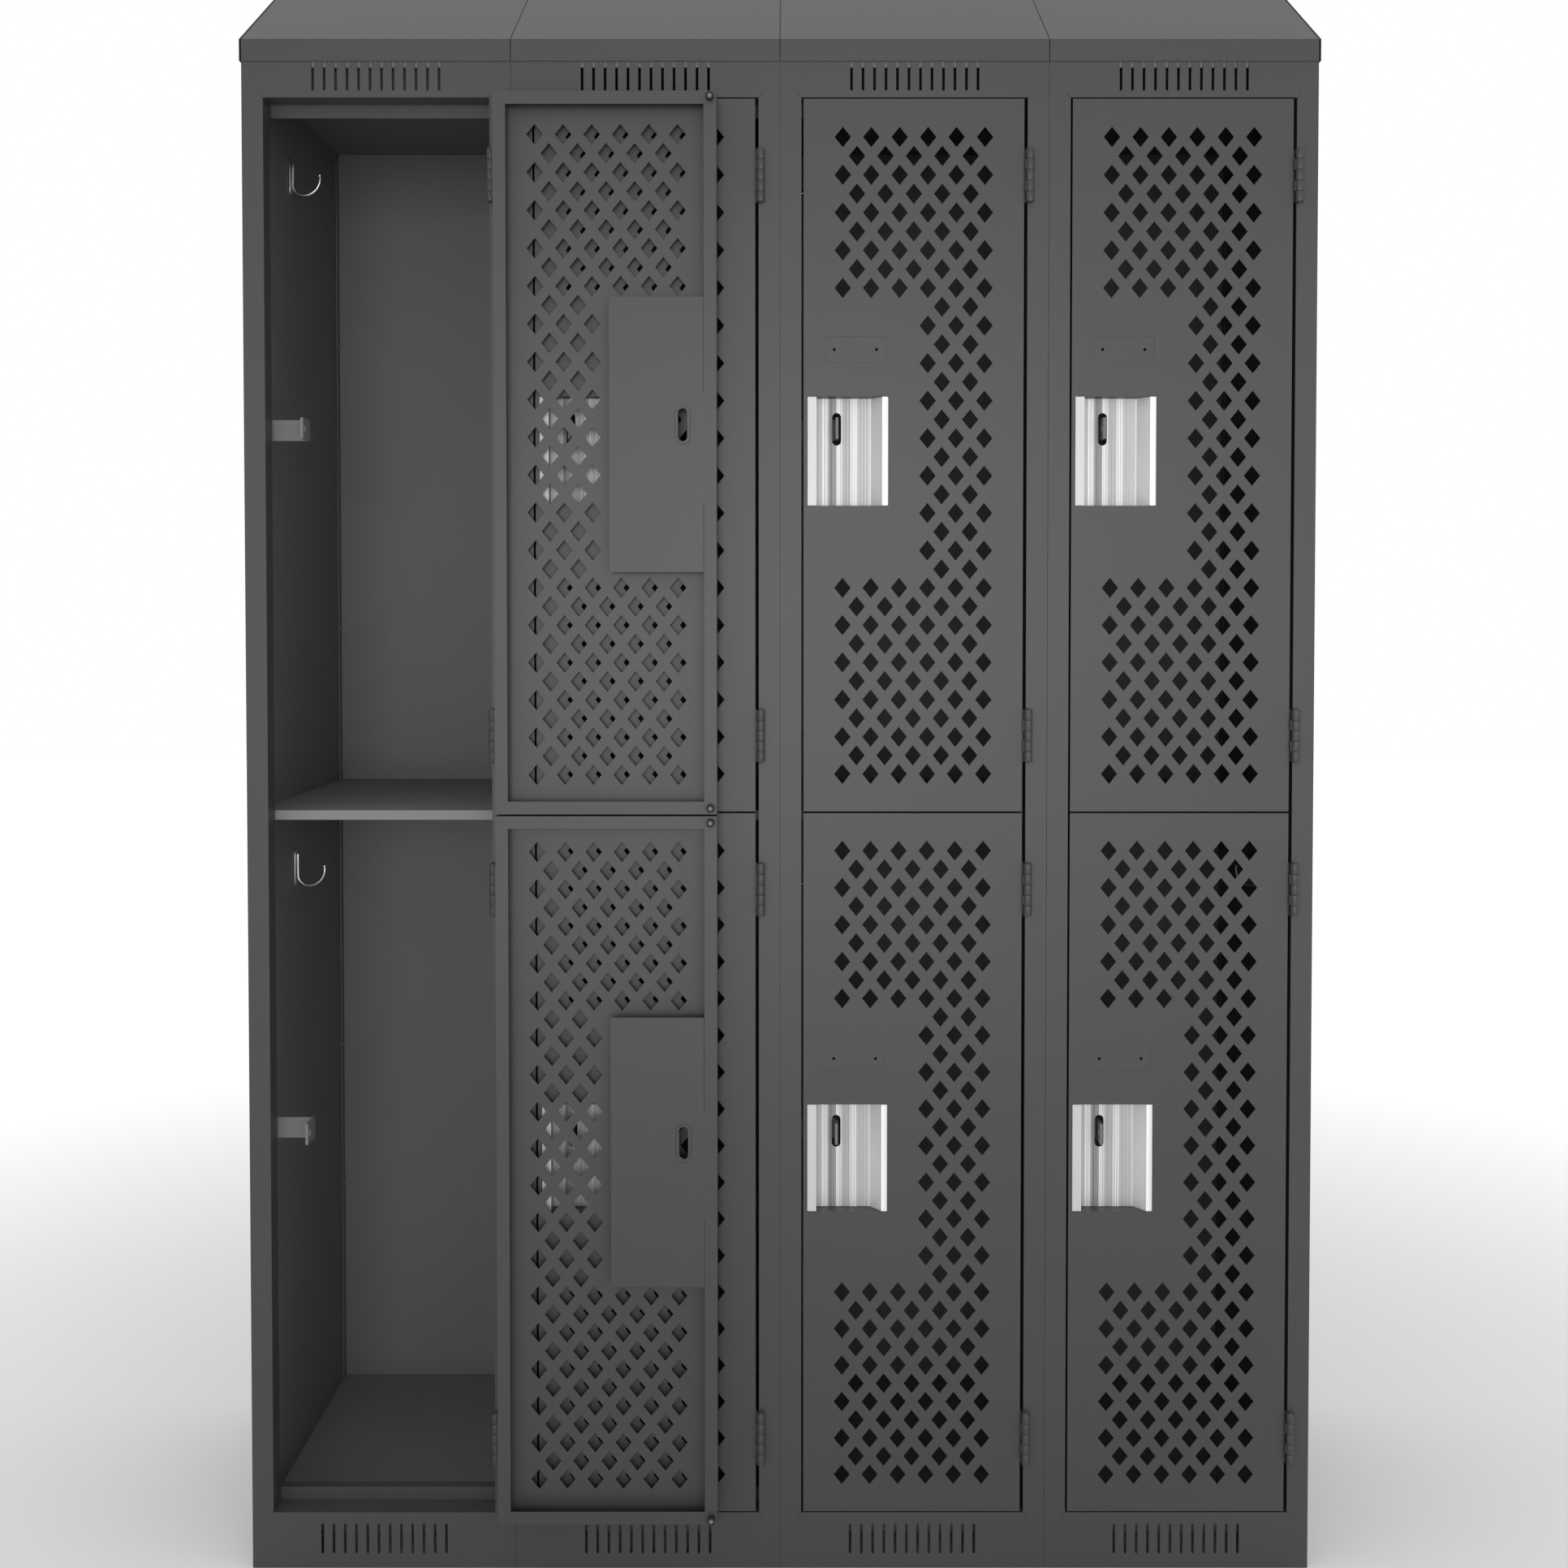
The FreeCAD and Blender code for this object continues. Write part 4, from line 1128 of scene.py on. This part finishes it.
    def head(self, low: np.ndarray, high: np.ndarray) -> Surface:
        """Return a rivet or screw head: a quarter-ellipse dome with a small crown dimple.

        The radius runs as R sin t and the height as H cos t, and the crown sinks by a tenth of
        the height within a fifth of the radius.

        Args:
            low: the head's lowest corner.
            high: the head's highest corner.

        Returns:
            The vertices and the quads.
        """
        size = high - low
        axis_index = int(np.argmin(size))
        radius = float(np.delete(size, axis_index).max()) / 2
        height = float(size[axis_index])
        middle = (low + high) / 2
        axis = np.zeros(3)
        axis[axis_index] = self.outward(middle, axis_index)
        foot = middle - axis * height / 2
        turn = np.linspace(0.5 * math.pi, 0.12, 8)
        dome = np.stack([radius * np.sin(turn), height * (0.12 + 0.88 * np.cos(turn))], axis=1)
        base = np.array([[radius * 0.97, 0.0], [radius, height * 0.06]])
        crown = np.array([[radius * 0.05, height * 0.9]])
        return turned(np.concatenate([base, dome, crown]), foot, axis, self.sides)

    def build(self) -> None:
        """Soften the staples, sweep new hook wires with their plates, and turn the heads."""
        self.soften("lock_staples", "cabinet", Finish.CARCASS_WITH_PAINTED_LIGHT, self.staple_edge)
        wires: list[Surface] = []
        for low, high in self.solids("coat_hooks"):
            wires += self.hook(low, high)
        self.keep(gathered("coat_hook_wires", wires, self.sides), "cabinet", Finish.ZINC, "coat_hooks")
        plates = [self.plate(low, high) for low, high in self.solids("coat_hooks")]
        self.keep(gathered("coat_hook_plates", plates, self.rim), "cabinet", Finish.ZINC)
        heads = [self.head(low, high) for low, high in self.solids("fasteners")]
        self.keep(gathered("fastener_heads", heads, self.sides), "cabinet", Finish.CARCASS_WITH_PAINTED_LIGHT, "fasteners")


@dataclass
class Door(Assembly):
    """One door: its panel, pocket, lock cover, hinge leaves and bumpers."""

    name: str = ""
    edge: float = 0.45 * MM
    thin_edge: float = 0.25 * MM
    bumper_sides: int = 28
    bumper_rim: float = 0.7 * MM
    bumper_wall: float = 1.6 * MM
    foot_round: float = 0.6 * MM
    dimple: float = 1.4 * MM
    core_rise: float = 1.0 * MM
    core_lift: float = 0.05 * MM
    pole: float = 0.1 * MM

    def bumper(self, low: np.ndarray, high: np.ndarray, back: float) -> list[Surface]:
        """Return a bumper's ring and core, turned about Y.

        The ring's profile rises from the foot, rounds over the rim and drops into the dimple,
        and the core is a low dome in the dimple.

        Args:
            low: the bumper's lowest corner.
            high: the bumper's highest corner.
            back: +1 where the bumper points to +Y, or -1.

        Returns:
            The surfaces of the ring and of the core.
        """
        radius = float(high[0] - low[0]) / 2
        length = float(high[1] - low[1])
        rim = self.bumper_rim
        bore = radius - self.bumper_wall
        floor = length - self.dimple
        foot = np.array([(low[0] + high[0]) / 2, low[1] if back > 0 else high[1], (low[2] + high[2]) / 2])
        axis = np.array([0.0, back, 0.0])
        turn = np.linspace(0.0, 0.5 * math.pi, 5)
        shoulder = np.stack([radius - rim + rim * np.cos(turn), length - rim + rim * np.sin(turn)], axis=1)
        inner = np.array([[bore, length], [bore, floor], [self.pole, floor]])
        outer = np.array([[self.pole, 0.0], [radius * 0.94, 0.0], [radius, self.foot_round]])
        ring = turned(np.concatenate([outer, shoulder, inner]), foot, axis, self.bumper_sides)
        fall = np.linspace(0.5 * math.pi, 0.05, 6)
        core = np.stack([bore * 0.96 * np.sin(fall), floor + self.core_rise * np.cos(fall)], axis=1)
        core = np.concatenate([[[self.pole, floor + self.core_lift]], core])
        return [ring, turned(core, foot, axis, self.bumper_sides)]

    def measure_across(self, pocket: bpy.types.Object) -> None:
        """Store on each vertex how far it stands across the pocket, from its free edge at 0 to 1.

        Args:
            pocket: the softened handle pocket.
        """
        mesh = pocket.data
        count = len(mesh.vertices)
        places = np.empty(count * 3)
        mesh.vertices.foreach_get("co", places)
        along = places.reshape(-1, 3)[:, 0]
        share = (along - along.min()) / (along.max() - along.min())
        panel = np.array(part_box(f"{self.name}_door_panel"))[:, 0].mean()
        if along.mean() > panel:
            share = 1.0 - share
        attribute = mesh.attributes.new(ACROSS, "FLOAT", "POINT")
        attribute.data.foreach_set("value", share)

    def build(self) -> None:
        """Make and dress the door's pieces."""
        name = self.name
        self.soften(f"{name}_door_panel", name, Finish.DOOR, self.edge)
        pocket = self.soften(f"{name}_handle_pocket", name, Finish.ALUMINIUM, self.thin_edge)
        self.measure_across(pocket)
        self.soften(f"{name}_lock_cover", name, Finish.DOOR, self.edge)
        self.soften(f"{name}_hinge_leaves", name, Finish.DOOR, self.thin_edge)
        panel = np.array(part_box(f"{name}_door_panel"))[:, 1].mean()
        rings: list[Surface] = []
        cores: list[Surface] = []
        for low, high in self.solids(f"{name}_bumpers"):
            back = math.copysign(1.0, (low[1] + high[1]) / 2 - panel)
            ring, core = self.bumper(low, high, back)
            rings.append(ring)
            cores.append(core)
        self.keep(gathered(f"{name}_bumper_rings", rings, self.bumper_sides), name, Finish.RUBBER,
                  f"{name}_bumpers")
        self.keep(gathered(f"{name}_bumper_cores", cores, self.bumper_sides), name, Finish.BUMPER_CORE)


def aimed(place: np.ndarray, target: np.ndarray) -> tuple[float, float, float]:
    """Return the Euler angles that turn a lamp's -Z from a place to a target.

    Args:
        place: where the lamp hangs.
        target: the point it looks at.

    Returns:
        The angles about X, Y and Z, in radians.
    """
    aim = target - place
    down = math.atan2(math.hypot(aim[0], aim[1]), -aim[2])
    return down, 0.0, math.atan2(-aim[0], aim[1])


@dataclass(frozen=True)
class SoftPanel:
    """One soft square lamp."""

    name: str
    place: tuple[float, float, float]
    power: float
    size: float

    def hang(self, target: tuple[float, float, float]) -> None:
        """Hang the lamp so that it looks at a target.

        Args:
            target: the point it looks at.
        """
        lamp = bpy.data.lights.new(f"{self.name}_panel", "AREA")
        lamp.energy = self.power
        lamp.size = self.size
        holder = bpy.data.objects.new(f"{self.name}_panel", lamp)
        holder.location = self.place
        holder.rotation_euler = aimed(np.array(self.place), np.array(target))
        bpy.context.scene.collection.objects.link(holder)


@dataclass
class Studio:
    """Floor, light and camera, with lengths in metres, angles in degrees and power in watts."""

    wardrobe: Wardrobe
    floor_half: float = 12.0
    eye_height: float = 1.0990
    eye_across: float = 0.0045
    eye_distance: float = 2.134
    field_height: float = 1.7885
    pitch: float = 1.6
    shift: float = -0.073
    level_light: float = 0.85
    zenith_light: float = 0.82
    aim: tuple[float, float, float] = (0.0, 0.0, 0.95)
    panels: tuple[SoftPanel, ...] = (
        SoftPanel("key", (-0.35, -6.2, 1.2), power=76.0, size=1.9),
        SoftPanel("fill", (1.9, -5.4, 1.2), power=32.0, size=2.2))

    def floor(self) -> None:
        """Lay a square flat floor at Z 0: its corners are (+-h, +-h, 0), with h half its width."""
        edge = np.array([-self.floor_half, self.floor_half])
        run, across = np.meshgrid(edge, edge, indexing="ij")
        points = np.stack([across, run, np.zeros((2, 2))], axis=-1)
        piece = mesh_object("studio_floor", points, [[0, 1, 3, 2]], smooth=False)
        self.wardrobe.dress(piece, Finish.FLOOR)

    def sky(self) -> None:
        """Build the world: plain white to the eye, and as light brightest level with the floor.

        The light falls from its level value at the horizon, in step with the direction's Z, to
        its zenith value overhead. Below the horizon it keeps the level value.
        """
        world = bpy.data.worlds.new("studio_world")
        bpy.context.scene.world = world
        world.use_nodes = True
        tree = world.node_tree
        place = tree.nodes.new("ShaderNodeTexCoord")
        split = tree.nodes.new("ShaderNodeSeparateXYZ")
        tree.links.new(place.outputs["Generated"], split.inputs[0])
        ramp = tree.nodes.new("ShaderNodeMapRange")
        ramp.inputs["From Min"].default_value = 0.05
        ramp.inputs["From Max"].default_value = 0.9
        ramp.inputs["To Min"].default_value = self.level_light
        ramp.inputs["To Max"].default_value = self.zenith_light
        tree.links.new(split.outputs["Z"], ramp.inputs["Value"])
        rays = tree.nodes.new("ShaderNodeLightPath")
        choose = tree.nodes.new("ShaderNodeMix")
        choose.inputs["B"].default_value = 1.0
        tree.links.new(rays.outputs["Is Camera Ray"], choose.inputs["Factor"])
        tree.links.new(ramp.outputs["Result"], choose.inputs["A"])
        background = tree.nodes["Background"]
        background.inputs["Color"].default_value = (1.0, 1.0, 1.0, 1.0)
        tree.links.new(choose.outputs["Result"], background.inputs["Strength"])

    def light(self) -> None:
        """Hang the soft panels: a strong one nearly ahead and a weaker fill to the right."""
        for panel in self.panels:
            panel.hang(self.aim)

    def camera(self) -> None:
        """Stand the camera in front, a little above the middle, with a slight downward tilt."""
        lens = bpy.data.cameras.new("front_camera")
        lens.sensor_fit = "HORIZONTAL"
        lens.sensor_width = 36.0
        lens.lens = lens.sensor_width * self.eye_distance / self.field_height
        lens.shift_y = self.shift
        holder = bpy.data.objects.new("front_camera", lens)
        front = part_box("face_frame_1")[0][1]
        holder.location = (self.eye_across, front - self.eye_distance, self.eye_height)
        holder.rotation_euler = (math.radians(90.0 - self.pitch), 0.0, 0.0)
        bpy.context.scene.collection.objects.link(holder)
        bpy.context.scene.camera = holder

    def build(self) -> None:
        """Set up the whole studio."""
        self.floor()
        self.sky()
        self.light()
        self.camera()
        bpy.context.scene.view_settings.view_transform = "Standard"


def main() -> None:
    """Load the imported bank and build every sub-assembly in order."""
    logging.basicConfig(level=logging.INFO, format="%(message)s")
    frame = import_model()
    wardrobe = Wardrobe()
    Studio(wardrobe).build()
    Carcass(frame, wardrobe).build()
    Hinges(frame, wardrobe).build()
    Fittings(frame, wardrobe).build()
    for body in frame["bodies"]:
        if body.startswith("door_"):
            Door(frame, wardrobe, name=body).build()
    bpy.context.view_layer.update()


if __name__ == "__main__":
    main()
